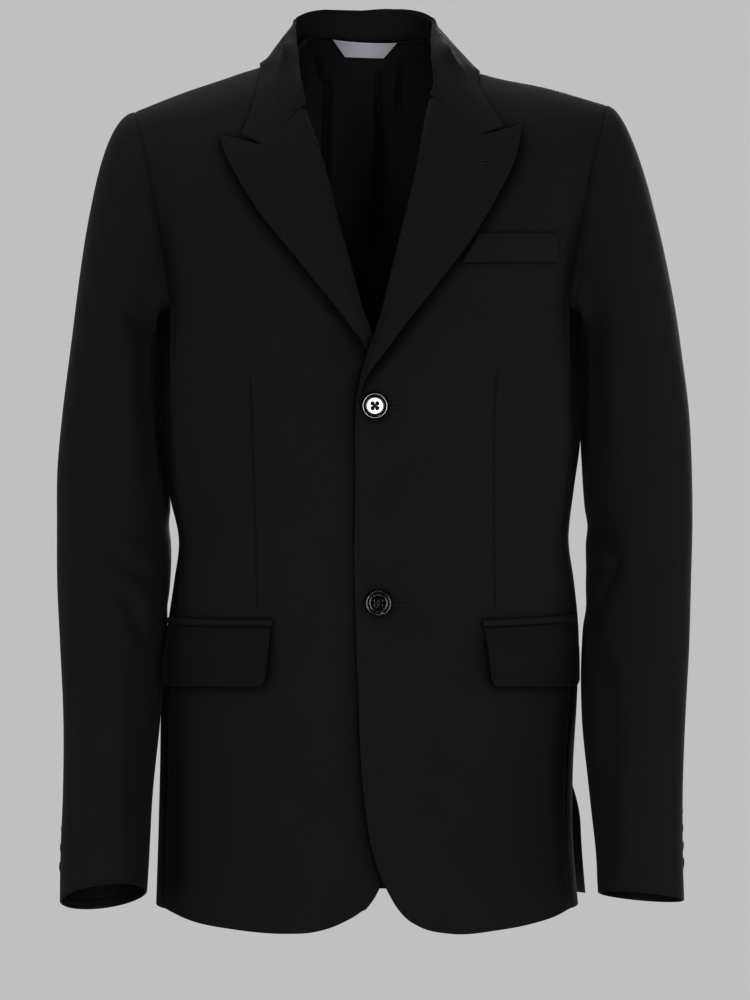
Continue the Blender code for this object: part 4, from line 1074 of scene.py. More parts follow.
# %% The sleeves' folds
SLEEVE_FOLDS = table("turn z wide high climb depth",
    (0.36, -405, 0.15, 11, 60, 3.4), (0.30, -440, 0.12, 13, -50, 2.6), (0.42, -470, 0.10, 12, 70, 2.0),
    (0.27, -285, 0.07, 30, 140, 2.6), (0.16, -340, 0.05, 55, 200, 1.6), (0.78, -330, 0.08, 45, -150, 2.2),
    (0.82, -250, 0.07, 35, -120, 1.8),
)
SLEEVE_CREASES = {
    (RIGHT, FRONT): crease_table(
        # the hook under the arm
        (-206, -211, -184, -240, 3, 6, 3.2), (-210, -204, -190, -226, 3, 7, -1.6),
        (-203, -127, -204, -140, 0, 12, 1.2), (-217, -172, -214, -192, 0, 13, 1.4),
        (-200, -236, -198, -372, -2, 9, -1.6), (-189, -246, -188, -356, -2, 9, 2.4),
        # inside the elbow
        (-226, -419, -192, -435, 3, 6.5, 3.4), (-222, -408, -190, -421, 2, 7, -1.8),
        (-212, -449, -188, -494, -3, 7, 3.4), (-199, -447, -181, -480, -2, 7, -1.6),
        (-205, -498, -203, -676, 3, 12, -1.3), (-191, -510, -192, -668, 2, 10, 1.8),
        (-232, -560, -226, -610, 4, 14, 0.8),
    ),
    (LEFT, FRONT): crease_table(
        (187, -214, 194, -322, 2, 8, 2.6), (202, -230, 205, -352, 3, 11, -1.4), (200, -132, 202, -146, 0, 11, 1.1),
        # inside the elbow
        (184, -400, 206, -428, -4, 5, 3.4), (206, -431, 187, -486, 4, 5, 3.8), (188, -425, 190, -446, 0, 11, 1.6),
        (214, -404, 218, -446, 0, 8, -1.8), (184, -493, 199, -548, -3, 9, 3.0), (199, -552, 199, -596, 0, 9, 2.8),
        (198, -600, 189, -680, -2, 9, 2.4), (212, -545, 208, -650, -3, 11, -1.4), (236, -330, 240, -390, 4, 15, 0.9),
    ),
    (RIGHT, BACK): crease_table(
        (-232, -120, -204, -176, 6, 10, 1.8), (-206, -215, -188, -250, 4, 8, 2.2),
        (-240, -415, -196, -398, 5, 8, 1.5), (-236, -452, -190, -438, -4, 8, 1.7),
        (-214, -500, -200, -640, 6, 11, 1.6),
    ),
    (LEFT, BACK): crease_table(
        (236, -128, 206, -182, -6, 10, 1.7), (208, -220, 190, -262, -4, 8, 2.0), (246, -408, 202, -396, -5, 8, 1.6),
        (240, -446, 196, -430, 4, 8, 1.5), (222, -505, 206, -650, -6, 11, 1.5),
    ),
}
print("creases on the sleeves:", sum(len(t["x0"]) for t in SLEEVE_CREASES.values()))


# %% Make the sleeves
CUFF_TILT = {RIGHT: (0.3, 5.2), LEFT: (6.5, 3.4)}  # how much lower each cuff hangs in front, and on the outside
SLEEVE_CREASE_DEPTH = 1.3  # the table's depths are for a softer cloth


def on_sleeve(side, turn, level, lift=0.0):
    """Points on the folded sleeve, moved out by a lift, and their normals."""
    turn, level = np.broadcast_arrays(np.asarray(turn, float), np.asarray(level, float))
    base = sleeve_base(side, turn, level)
    normals = sleeve_normals(side, turn, level)
    x, z = base[..., 0], base[..., 2]
    folds = 0.0
    for at, high_z, wide, high, climb, deep in zip(*SLEEVE_FOLDS.values()):
        off = (turn - at + 0.5) % 1 - 0.5
        folds = folds + deep * hump(off, wide) * hump(z - high_z - climb * off, high)
    ahead = np.sin(2 * np.pi * (turn + np.where(level < 0, sleeve_twist(z), 0)))
    for face in (FRONT, BACK):
        shown = SLEEVE_CREASE_DEPTH * ease(0.5 - 1.2 * face * ahead)
        folds = folds + shown * creased(SLEEVE_CREASES[side, face], x, z)
    away = ease(np.where(level < 0, 1, level) / 0.5)
    lift = lift - folds * away
    points = base + normals * lift[..., None]
    in_front, outside = CUFF_TILT[side]
    round_it = 2 * np.pi * (turn + sleeve_twist(z))
    tilt = in_front * np.sin(round_it) + outside * np.cos(round_it)
    points[..., 2] -= tilt * ease((-640 - z) / 50)
    return points, normals


def tucked(side, turns):
    """A row of the cap that goes on inside the armhole, as seam allowance: points and normals."""
    loop = on_armhole(side, turns)
    at_top = ease((0.05 - abs(turns)) / 0.03)[..., None]  # the torso's own normal turns too fast on the ridge
    n = unit(torso_normals(loop) * (1 - at_top) + sleeve_normals(side, turns, 0.0) * at_top)
    out = unit((loop - loop.mean(axis=(0, 1))) * [0, 1, 1])
    out -= n * (out * n).sum(-1, keepdims=True)
    in_front = ease((0.62 - turns) / 0.12) * ease(turns / 0.05)
    deep = CLOTH + 0.9 + curve(HOLLOW, "deep", loop[..., 2]) * in_front
    return loop + out * SEAM_ALLOWANCE - n * deep[..., None], n


CAP_LEVELS = np.linspace(0, 1, 44)
TUBE_LEVELS = np.linspace(SLEEVE_TOP_Z, CUFF_Z, 108)[1:]


def make_sleeve(side):
    levels = np.concatenate([CAP_LEVELS, TUBE_LEVELS])[:, None]
    lap = SEAM_LAP / 300
    spans = {  # the front seam is pressed flat, so there the pieces reach over each other further
        "top_sleeve": (BACK_SEAM_AT - 1 - lap, FRONT_SEAM_AT + 3 * lap, 56, 0.8),
        "under_sleeve": (FRONT_SEAM_AT - 3 * lap, BACK_SEAM_AT + lap, 38, 0.0),
    }
    for name, (first, last, count, anchor) in spans.items():
        turns = np.linspace(first, last, count)[None, :]
        points, normals = on_sleeve(side, turns, levels)
        inside, inside_normals = tucked(side, turns)
        points, normals = np.concatenate([inside, points]), np.concatenate([inside_normals, normals])
        sewn = (0, 0, 0.5, 0) if anchor else (0, 0, 0, 0.5)
        cloth(f"{name}_{SIDE_NAMES[side]}", points, normals, sleeve_twill, sewn=sewn, lining=sleeve_satin,
              anchor=anchor)


for side in (RIGHT, LEFT):
    make_sleeve(side)

# %% [markdown]
# ## The lapels
#
# A lapel is the top of the front with its facing, turned back and rolled rather than creased, so it leaves the body
# in a small round and lies over the chest with a little air under it. The grid starts inside the neck opening, goes
# round the roll, and then spreads to the outer edge. The peak is made by bending the rows near the top into the line
# of the gorge seam. The cloth is seen from its other side here, and the weave leans another way on each lapel.

# %% The lapels' tables
ROLL = {
    RIGHT: table("z x",
        (-270, 10), (-256, 4.4), (-243, -0.8), (-236, -3.2), (-221, -8.6), (-189, -17.3), (-152, -27.8), (-114, -37),
        (-82, -46.4), (-53, -56.7),
    ),
    LEFT: table("z x",
        (-297, -9.6), (-283, -6.9), (-265, -1.4), (-250, 2.8), (-234, 9), (-197, 18.8), (-156, 29), (-110, 40.2),
        (-72, 47), (-45, 52.5),
    ),
}
GORGE = {
    RIGHT: {"roll": (-56.7, -53), "notch": (-80.6, -88), "tip": (-123.4, -76.2), "corner": (-105, -76.8)},
    LEFT: {"roll": (52.5, -45), "notch": (82.6, -80.6), "tip": (125, -67.7), "corner": (109.5, -69.5)},
}
NOTCH_AT = 0.385
BOW = 4  # how sharply the lapel's rows bend into its top edge
print("peak to peak in mm:", GORGE[LEFT]["tip"][0] - GORGE[RIGHT]["tip"][0])

# %% Make the lapels
ROLL_RADIUS = 3.2
LAPEL_FLAT, LAPEL_RISE, EDGE_RISE = 2.6, 2.6, 3.0
LAPEL_CLOTH = 2.2


def along(points, shares, at):
    """A place on a path through these points."""
    points = np.array(points, float)
    return np.stack([np.interp(at, shares, points[:, i]) for i in range(2)], -1)


def lapel_stand(up, across):
    """How far a lapel's face stands off the front: least at the break, the roll line and the edge."""
    across = np.clip(across, 0, 1)
    bulge = LAPEL_RISE * np.sin(np.pi * across**0.7) ** 1.2 + EDGE_RISE * across
    return LAPEL_FLAT * (0.2 + 0.8 * ease(up / 0.12)) + bulge * (0.15 + 0.85 * ease(up / 0.3))


def going_under(side, x, z):
    """Where the right lapel goes down under the left front, from 0 to 1."""
    return (side == RIGHT) * ease((x - curve(ROLL[LEFT], "x", z) + 9) / 7)


def make_lapel(side):
    roll, edge, gorge = ROLL[side], LAPEL_EDGE[side], GORGE[side]
    t = np.linspace(0, 1, 74)[:, None]
    s = np.unique(np.append(np.linspace(0, 1, 30), NOTCH_AT))[None, :]
    z_in = roll["z"][0] + (roll["z"][-1] - roll["z"][0]) * t
    z_out = edge["z"][0] + (edge["z"][-1] - edge["z"][0]) * t
    x = curve(roll, "x", z_in) * (1 - s) + curve(edge, "x", z_out) * s
    z = z_in * (1 - s) + z_out * s
    top = along([gorge["roll"], gorge["notch"], gorge["tip"]], [0, NOTCH_AT, 1], s[0])
    x = x + (top[:, 0] - x[-1]) * t**BOW
    z = z + (top[:, 1] - z[-1]) * t**BOW
    under = going_under(side, x, z)
    points, normals = on_torso(x, z, FRONT, lapel_stand(t, s) * (1 - under) - (CLOTH + 0.5) * under)
    radius = ROLL_RADIUS * (0.35 + 0.65 * ease(t / 0.12)) * (1 - 0.6 * under[:, :1])
    flat, _ = on_torso(x[:, :1], z[:, :1], FRONT, -CLOTH / 2 - (CLOTH + 1) * under[:, :1])
    hook = []
    for angle in np.radians(np.linspace(205, 105, 8)):
        p = flat + normals[:, :1] * (radius * math.sin(angle) + 0.4)[..., None]
        p[..., 0] += side * radius * math.cos(angle)
        hook.append(p)
    points = np.concatenate([*hook, points], axis=1)
    n = grid_normals(points, np.concatenate([normals[:, :1]] * len(hook) + [normals], axis=1))
    n[:, len(hook) :] += (normals - n[:, len(hook) :]) * (t**BOW)[..., None]
    name = SIDE_NAMES[side]
    return cloth(f"lapel_{name}", points, unit(n), lapel_twills[name], LAPEL_CLOTH, start=x[:, 0])


lapels = {side: make_lapel(side) for side in (RIGHT, LEFT)}

# %% [markdown]
# ## The collar
#
# The collar is one band: the stand rises from the neckline, folds over, and the fall lies down over the seam and
# widens to its corners beside the lapels' peaks. It is drafted as stations round the neck, each with the bottom of
# the stand, the fold and the outer edge. A coarse grid through them is pushed clear of the body first, and the fine
# grid is a smooth curve through that one, which rounds the fold by itself.

# %% The collar's stations
COLLAR = table("stand_x stand_y stand_z fold_x fold_y fold_z edge_x edge_y edge_z",
    (-52.5, -84, -49, -54.5, -90, -51, -105, -84, -76.8), (-56.0, -73, -34, -57, -78, -31, -98.5, -75, -55),
    (-61.5, -52, -12, -59.5, -50, -6, -92.5, -54, -33), (-69, -22, 3, -62, -20, 17, -89.5, -24, -13),
    (-69, 6, 4, -63, 6, 30, -94.5, 8, -7.5), (-63, 30, 14.5, -61.5, 28, 38, -86, 44, -6),
    (-42, 50, 20, -43.5, 48, 46.3, -59, 74, -1), (-4, 60, 21.5, -6, 59, 47, -6, 88, 3),
    (36, 52, 20, 33, 48, 46.5, 57, 74, -2), (60, 33, 14, 52, 28, 38, 87, 44, -8),
    (67, 6, -1.5, 52.5, 4, 28, 97, 8, -13), (67, -20, 0, 51, -24, 13, 90, -24, -17),
    (59, -52, -14, 50.5, -50, -5, 89, -50, -31), (54, -70, -32, 52.5, -74, -28, 99.5, -68, -49),
    (50.0, -78, -40.5, 52, -86, -43, 109.5, -79, -69.5),
)
COLLAR_STEPS = 30
COLLAR_BLEND = 2.6  # stations from each end over which the fall is drawn to its lapel
FALL_SHARES = np.array([0.14, 0.34, 0.56, 0.78, 1])
FALL_NOTCH_AT = 0.56
GORGE_GAP = -0.5
FALL_BOW = 2.2
COLLAR_CLEAR = np.array([3.2, 3.2, 3.0, 2.6, 2.1])  # less towards the outer edge


def clear_of_torso(points, least):
    """Points moved out until they are at least this far from the torso."""
    for _ in range(4):
        x, y, z = np.moveaxis(points, -1, 0)
        slope = torso_slope(x, y, z)
        steep = np.linalg.norm(slope, axis=-1)
        short = np.clip(least - torso_form(x, y, z) / steep, 0, 4)
        points = points + slope / steep[..., None] * short[..., None]
    return points


def drawn_through(grid, counts):
    """A fine grid on smooth curves through a coarse one."""
    for axis, count in enumerate(counts):
        keys = run_along(grid, axis).mean(axis=1 - axis)
        grid = np.moveaxis(grid, axis, 0)
        at = np.linspace(0, keys[-1], count)
        flat = grid.reshape(len(keys), -1)
        fine = np.stack([smooth(keys, flat[:, i], at) for i in range(flat.shape[1])], -1)
        grid = np.moveaxis(fine.reshape(count, *grid.shape[1:]), 0, axis)
    return grid


print("collar stations:", len(COLLAR["fold_x"]))


# %% Make the collar
def collar_grid():
    """The collar's coarse grid, and which way is out at its two ends."""
    keys = np.arange(len(COLLAR["fold_x"]), dtype=float)
    at = np.linspace(0, keys[-1], COLLAR_STEPS + 1)
    stand, fold, edge = (
        np.stack([smooth(keys, COLLAR[f"{part}_{axis}"], at) for axis in "xyz"], -1)
        for part in ("stand", "fold", "edge")
    )
    columns = [stand, stand + (fold - stand) * 0.5, stand + (fold - stand) * 0.86, fold]
    way = edge - fold
    off = unit(np.cross(np.gradient(fold, axis=0), way))
    off *= np.sign(off[len(off) // 2, 2])
    for share in FALL_SHARES:
        columns.append(fold + way * share + off * FALL_BOW * np.sin(np.pi * share**0.6)[..., None])
    points = np.stack(columns, axis=1)
    for side, end in ((RIGHT, 0), (LEFT, -1)):
        gorge = GORGE[side]
        path = along([gorge["roll"], gorge["notch"], gorge["corner"]], [0, FALL_NOTCH_AT, 1], np.append(0, FALL_SHARES))
        path[:, 1] += GORGE_GAP
        stand_off = lapel_stand(1.0, NOTCH_AT * np.append(0, FALL_SHARES) / FALL_NOTCH_AT)
        target, _ = on_torso(path[:, 0], path[:, 1], FRONT, stand_off)
        near = np.clip(1 - abs(at - at[end]) / COLLAR_BLEND, 0, 1) ** 2.2
        points[:, 3:] += near[:, None, None] * (target - points[end, 3:])
    for _ in range(3):
        fall = clear_of_torso(points[:, 4:], COLLAR_CLEAR)
        points[1:-1, 4:] = (fall[:-2] + 2 * fall[1:-1] + fall[2:]) / 4
    points[:, 4:] = clear_of_torso(points[:, 4:], COLLAR_CLEAR)
    return points


def stand_allowance(stand):
    """The seam allowance below the stand, which goes down between the back and its lining."""
    x, y, z = np.moveaxis(stand, -1, 0)
    low = stand - np.array([0, 0, SEAM_ALLOWANCE])
    behind, _ = on_torso(x, z - SEAM_ALLOWANCE, BACK, np.full_like(x, -CLOTH - 0.2))
    beside = low + np.sign(x)[:, None] * np.array([0.8, 0, 0])
    return np.where(((abs(x) < 55) & (y > 24))[:, None], behind, beside)


coarse_collar = collar_grid()
coarse_collar = np.concatenate([stand_allowance(coarse_collar[:, 0])[:, None], coarse_collar], axis=1)
collar_points = drawn_through(coarse_collar, (112, 34))
collar_normals = grid_normals(collar_points)
collar_normals *= np.sign(collar_normals[len(collar_normals) // 2, 20, 2])
collar = cloth("collar", collar_points, collar_normals, collar_twill)

# %% [markdown]
# ## Pockets
#
# Each hip pocket is a slit bound by a jet, a thin rolled strip, and a flap hangs out from under it. The flap is two
# layers turned through each other, so its edge is thick and round, and its free end stands off a little. The chest
# welt is a plain strip sewn down along its foot and its two ends.

# %% The pockets' corners in the front view: top inner, top outer, bottom inner, bottom outer
FLAP_RADIUS = 5
POCKETS = {
    RIGHT: {
        "flap": ((-80.4, -481), (-167.5, -481.5), (-84.5, -530), (-171.5, -532)),
        "jet": ((-78.7, -475), (-168, -475.5), (-78.9, -480.4), (-168, -480.9)),
    },
    LEFT: {
        "flap": ((93.5, -481.5), (171.5, -479), (98.5, -530), (172.6, -532)),
        "jet": ((92, -475), (171.5, -472.5), (92.2, -480.8), (171.5, -478.3)),
    },
}
WELT = ((89, -157.8), (154.5, -155.5), (74.5, -182.7), (155.8, -180))


def quad_outline(corners, down, across):
    """X and Z of a grid between four corners."""
    a, b, c, d = (np.array(p, float) for p in corners)
    v, u = down[:, None, None], across[None, :, None]
    return np.moveaxis((1 - v) * ((1 - u) * a + u * b) + v * ((1 - u) * c + u * d), -1, 0)


def even_across(corners, count):
    """Shares of a strip's width that lie evenly along the curved front."""
    u = np.linspace(0, 1, 80)
    x, z = quad_outline(corners, np.array([0.0]), u)
    length = run_on_torso(x, z, FRONT)[0]
    return np.interp(np.linspace(0, length[-1], count), length, u)


def lay_on_front(node, corners, counts, lift, thickness, rounded=0.0, sewn=(0, 0, 0, 0), made_of=body_twill):
    """A strip on the front. Lift is a function of the shares down and across."""
    down, across = np.linspace(0, 1, counts[0]), even_across(corners, counts[1])
    x, z = quad_outline(corners, down, across)
    if rounded:
        wide = abs(x[-1, -1] - x[-1, 0])
        off = rounded - np.minimum(np.minimum(across, 1 - across) * wide * 1.25, rounded)
        z = z + (rounded - np.sqrt(np.clip(rounded**2 - off**2, 0, None)))[None, :] * down[:, None] ** 2
    points, normals = on_torso(x, z, FRONT, lift(down[:, None], across[None, :]) + 0 * x)
    return cloth(node, points, normals, made_of, thickness, sewn=sewn, start=x[:, 0])


print("welt in mm:", round(WELT[1][0] - WELT[0][0]), "wide at its top")


# %% Make the pockets
def flap_lift(down, across):
    """Tight under the jet, then curving away from the body, most at the inner corner."""
    inner = ease((0.3 - across) / 0.3) * ease(down / 0.3)
    return 1.9 + 2.6 * ease(down / 0.5) + 1.6 * inner + 0.5 * np.sin(3.1 * across + 0.6) * down**2


def jet_lift(down, across):
    return 2.5 + 0.8 * np.sin(np.pi * down)


def welt_lift(down, across):
    return 2.1 + 0.5 * np.sin(np.pi * down) + 0.25 * np.sin(7 * across)


for side in (RIGHT, LEFT):
    name, corners = SIDE_NAMES[side], POCKETS[side]
    lay_on_front(f"pocket_jet_{name}", corners["jet"], (6, 26), jet_lift, 2.2)
    lay_on_front(f"flap_{name}", corners["flap"], (15, 30), flap_lift, 2.0, FLAP_RADIUS, made_of=pocket_twill)
chest_welt = lay_on_front("chest_welt", WELT, (9, 24), welt_lift, 2.0, sewn=(0, 0.4, 0.7, 0.7))

# %% [markdown]
# ## The lining and the neck label
#
# The lining of the back is cut wider than the back, so that it never pulls, and the spare width falls into long folds
# from the neck: narrow furrows that run downwards, with broad soft ridges between them, all gone by the waist. Inside
# each cuff a ring of lining stops short of the edge. The label is a bare strip of pale satin, sewn on just under the
# collar.

# %% Make the linings
LINING = 1.0
LAY_GAP = 0.5
LINING_SHARE = 0.8
LINING_HEM_Z = -700
LINING_REACH = 1.6  # how far its furrows may go into the wool's own thickness
LINING_GAP, NECK_LINING_GAP = 0.7, 3.4
NECK_SEAM_REACH = 7
CUFF_LINING_Z = (-600, -697)
LINING_FOLDS = crease_table(
    (-58, 6, -61, -70, 3, 2.6, 4.4), (-49, 8, -38.5, -14, 1, 2.2, 4.2), (-37.6, -12, -40, -110, 1, 3.0, 5.4),
    (-24, 12, -23, -120, 2, 11, -1.6), (7.5, -4, 4, -150, -2, 2.8, 5.4), (29, 6, 26, -34, 2, 2.0, 3.8),
    (44, 8, 46, -90, -3, 10, -1.6), (2, -160, -4, -330, 4, 12, 1.2), (-30, -200, -36, -360, -5, 14, -1.0),
)


def lining_lift(x, z):
    """Close to the back, further off it in the hollow of the neck, and close again where the collar holds it."""
    loose = ease((z + 150) / 110) * ease((back_top_z(x) - z) / NECK_SEAM_REACH) * ease((80 - abs(x)) / 16)
    return -CLOTH - LINING_GAP - (NECK_LINING_GAP - LINING_GAP) * loose


def make_back_lining():
    shares = np.linspace(-1, 1, 181) * LINING_SHARE
    rows = []
    for z in np.linspace(LINING_HEM_Z, CHEST_Z, 84)[:-1]:
        x = half_width_at(shares, z) * shares
        rows.append((x, np.full_like(x, z)))
    for rise in dome_rises(40):
        x = armhole_x(LEFT, BACK, rise) * shares
        top = -1.6 + 8.6 * ease((abs(x) - 66) / 22)  # up under the collar, and below the shoulder seams
        rows.append((x, CHEST_Z + rise * (back_top_z(x) - CHEST_Z) - top * ease((rise - 0.93) / 0.07)))
    x, z = np.stack(rows, axis=1)
    lift = lining_lift(x, z)
    lift += np.minimum(creased(LINING_FOLDS, x, z), -CLOTH + LINING_REACH - lift) - creased(BACK_CREASES, x, z)
    points, normals = on_torso(x, z, BACK, lift)
    return cloth("back_lining", points, normals, lining_satin, LINING, (0, -1, 0, 0), x[:, 0], slot="lining_satin")


def make_sleeve_lining(side):
    turns = np.linspace(0, 1, 81)[None, :-1]
    levels = np.linspace(*CUFF_LINING_Z, 25)[:, None]
    points, normals = on_sleeve(side, turns, levels, -CLOTH - LAY_GAP)
    cloth(f"sleeve_lining_{SIDE_NAMES[side]}", points, normals, sleeve_satin, LINING, wrapped=True, slot="lining_satin")


back_lining = make_back_lining()
for side in (RIGHT, LEFT):
    make_sleeve_lining(side)

# %% Make the label
LABEL = ((-36.5, 16.8), (26.8, 14.8), (-24.6, 3.3), (13.4, 2.5))
LABEL_LIFT, LABEL_RAISE = -8.2, 9.1  # off the back, and up, because it leans with the collar's stand
LABEL_CLOTH = 0.8
label_x, label_z = quad_outline(LABEL, np.linspace(0, 1, 9), np.linspace(0, 1, 30))
label_points, label_normals = on_torso(label_x, label_z + LABEL_RAISE, BACK, LABEL_LIFT)
neck_label = cloth("neck_label", label_points, label_normals, label_satin, LABEL_CLOTH, slot="label_satin")

# %% [markdown]
# ## Buttons
#
# A cast button is turned on a lathe: a dished face inside a raised rim, four holes and a domed back. The face is a
# disc of rings and spokes whose height is the turned profile, less a round pit at each hole, so the holes are real.
# The thread crosses them and holds the button a little off the cloth on a short shank.

# %% Make one button
FRONT_BUTTON_RADIUS, CUFF_BUTTON_RADIUS = 10.8, 6.6
FRONT_BUTTON_HEIGHT, CUFF_BUTTON_HEIGHT = 4.0, 3.0
FACE_PROFILE = table(  # a flat face, a groove, a raised rim
    "r z", (0, 0.62), (0.63, 0.62), (0.66, 0.56), (0.7, 0.58), (0.77, 0.78), (0.84, 0.965), (0.87, 1.0), (0.935, 1.0),
    (0.965, 0.92), (1.0, 0.6),
)
BACK_PROFILE = table("r z", (0, 0), (0.6, 0.02), (0.9, 0.25), (0.98, 0.42), (1.0, 0.6))
HOLES_AT, HOLE_RADIUS = 0.24, 0.105  # shares of the button's radius
HOLE_DEPTH = 0.45  # a share of its height


def frame_at(centre, normal):
    """A matrix that stands a part on its place, with its Z along the normal."""
    turn = Vector(normal).to_track_quat("Z", "Y").to_matrix().to_4x4()
    return Matrix.Translation(Vector(np.asarray(centre) * MM)) @ turn


def band_faces(index):
    """Faces between rings of points, each ring closed."""
    after = np.roll(index, -1, axis=1)
    return np.stack([index[:-1], index[1:], after[1:], after[:-1]], -1).reshape(-1, 4)


def make_button(name, centre, normal, radius, height, spokes, spin=0.0):
    """A turned button with four holes, standing on its place."""
    hole_at, hole = HOLES_AT * radius, HOLE_RADIUS * radius
    face_r = np.unique(np.concatenate([np.linspace(0.0, 0.5, 22), np.linspace(0.5, 1, 34)]))[1:]
    angle = np.linspace(0, 2 * np.pi, spokes, endpoint=False) + spin
    x, y = (face_r[:, None] * radius * turned for turned in (np.cos(angle), np.sin(angle)))
    z = np.interp(face_r, FACE_PROFILE["r"], FACE_PROFILE["z"])[:, None] * height + 0 * x
    for k in range(4):
        a = spin + math.pi / 4 + k * math.pi / 2
        off = np.hypot(x - hole_at * math.cos(a), y - hole_at * math.sin(a))
        z = z - HOLE_DEPTH * height * ease((hole - off) / (0.05 * radius) + 0.5)
    back_r = np.linspace(1, 0, 12)[1:-1]
    back_x, back_y = (back_r[:, None] * radius * turned for turned in (np.cos(angle), np.sin(angle)))
    back_z = curve(BACK_PROFILE, "z", back_r)[:, None] * height + 0 * back_x
    rings = np.stack([np.concatenate(g) for g in ((x, back_x), (y, back_y), (z, back_z))], -1)
    n = len(rings)
    middle = np.array([[0, 0, FACE_PROFILE["z"][0] * height], [0, 0, 0]])
    index = np.arange(n * spokes).reshape(n, spokes)
    after = np.roll(index, -1, axis=1)
    quads = band_faces(index).tolist()
    first = [[n * spokes, int(a), int(b)] for a, b in zip(index[0], after[0])]
    last = [[n * spokes + 1, int(b), int(a)] for a, b in zip(index[-1], after[-1])]
    points = np.concatenate([rings.reshape(-1, 3), middle])
    made = add_mesh(name, points, quads + first + last, points[:, :2], [polyester])
    made.data.transform(frame_at(centre, normal))
    return made


print("front button in mm:", 2 * FRONT_BUTTON_RADIUS)


# %% Helpers for thread
def tube_rings(path, radius, sides=8):
    """Rings of points round a path, and how far along it each one is."""
    path = np.asarray(path, float)
    ahead = unit(np.gradient(path, axis=0))
    up = unit(np.cross(ahead, [0.13, 0.31, 0.94]))  # no thread runs this way
    side = np.cross(ahead, up)
    a = np.linspace(0, 2 * np.pi, sides, endpoint=False)
    rings = path[:, None] + radius * (up[:, None] * np.cos(a)[None, :, None] + side[:, None] * np.sin(a)[None, :, None])
    return rings, run_along(path, 0)


def make_threads(name, paths, radius, material):
    """One mesh of thread along several paths, with closed ends."""
    points, faces, flat, start = [], [], [], 0
    for path in paths:
        rings, run = tube_rings(path, radius)
        n, sides = rings.shape[:2]
        index = start + np.arange(n * sides).reshape(n, sides)
        faces += band_faces(index).tolist()
        faces += [index[0].tolist(), index[-1][::-1].tolist()]
        points.append(rings.reshape(-1, 3))
        flat.append(np.stack([np.repeat(run, sides), np.tile(np.arange(sides) * radius * 0.8, n)], -1))
        start += n * sides
    return add_mesh(name, np.concatenate(points), faces, np.concatenate(flat), [material])


def cross_stitches(centre, normal, radius, height, spin=0.0):
    """Two strands for each diagonal of a button's holes."""
    turn = np.array(frame_at((0, 0, 0), normal).to_3x3())
    t = np.linspace(-1, 1, 13)
    paths = []
    for k in range(2):
        a = spin + math.pi / 4 + k * math.pi / 2
        for shift in (-0.04, 0.04):
            reach = HOLES_AT * radius * t
            x = reach * math.cos(a) - shift * radius * math.sin(a)
            y = reach * math.sin(a) + shift * radius * math.cos(a)
            z = height * (0.66 + 0.035 * k - 0.5 * np.clip(abs(t) - 0.86, 0, 1) / 0.14)
            paths.append(np.asarray(centre) + np.stack([x, y, z + 0 * x], -1) @ turn.T)
    return paths


print("a thread ring has", tube_rings([(0, 0, 0), (0, 0, 1)], 0.3)[0].shape[1], "sides")

# %% Make all buttons and sew them on
FRONT_BUTTONS = {"button_top": (4.2, -299.6), "button_bottom": (7.1, -461)}
CUFF_BUTTON_Z = (-674, -660.2, -646.4, -632.6)
CUFF_BUTTON_TURN = 0.94
BUTTON_GAP = 0.4
BUTTON_THREAD_RADIUS = 0.6
button_threads = []


def sew_on(node, seat, radius, height, spokes, spin=0.0):
    """A button on its seat, which is a point and a normal, with its thread."""
    place, normal = (v[0] for v in seat)
    worn(make_button(f"{node}_cast", place, normal, radius, height, spokes, spin), "button_polyester", node)
    button_threads.extend(cross_stitches(place, normal, radius, height, spin))


for name, (x, z) in FRONT_BUTTONS.items():
    sew_on(name, on_torso([x], [z], FRONT, [BUTTON_GAP]), FRONT_BUTTON_RADIUS, FRONT_BUTTON_HEIGHT, 96)
for side in (RIGHT, LEFT):
    for number, z in enumerate(CUFF_BUTTON_Z, 1):
        seat = on_sleeve(side, [CUFF_BUTTON_TURN - SLEEVE_TWIST], [z], BUTTON_GAP)
        node = f"cuff_button_{SIDE_NAMES[side]}_{number}"
        sew_on(node, seat, CUFF_BUTTON_RADIUS, CUFF_BUTTON_HEIGHT, 64, 0.7 * number)  # no two are turned alike
worn(make_threads("button_thread", button_threads, BUTTON_THREAD_RADIUS, black_thread), "button_polyester")

# %% [markdown]
# ## Buttonholes
#
# A worked buttonhole is a slit whose lips are covered with close stitches of shiny thread. What shows is two raised
# lips with a dark line between them, closed at the end by a small bar. Each is a loop of thread laid on the cloth. The
# front ones start under their buttons, and the one in the left lapel has no button at all.

# %% Work the buttonholes
HOLE_HALF = 1.9  # half the distance between the lips
FRONT_HOLES = (((9.0, -299.3), (26.3, -299.0)), ((11.0, -461.4), (33.8, -461.0)))
LAPEL_HOLE = ((90.7, -99.1), (99.9, -98.0))
LAPEL_HOLE_HALF = 0.9
STITCH_STEP = 0.8
HOLE_THREAD_RADIUS = 0.36
HOLE_LIFT = 0.15


def hole_loop(start, end, half, place):
    """A loop round a slit, from place(x, z), which lays a point on the cloth."""
    start, end = np.array(start), np.array(end)
    way = (end - start) / np.linalg.norm(end - start)
    across = np.array([-way[1], way[0]])
    angle = np.linspace(-np.pi / 2, np.pi / 2, 9)[:, None]
    arc = half * (np.cos(angle) * way + np.sin(angle) * across)
    cap, foot = end - way * half + arc, start + way * half - arc
    outline = np.concatenate([cap, foot, cap[:1]])
    fine = []
    for a, b in zip(outline[:-1], outline[1:]):
        count = max(1, round(np.linalg.norm(b - a) / STITCH_STEP))
        fine += [a + (b - a) * k / count for k in range(count)]
    return place(*np.array([*fine, outline[-1]]).T)


def on_front_cloth(x, z):
    return on_torso(x, z, FRONT, HOLE_LIFT - creased(FRONT_CREASES, x, z))[0]


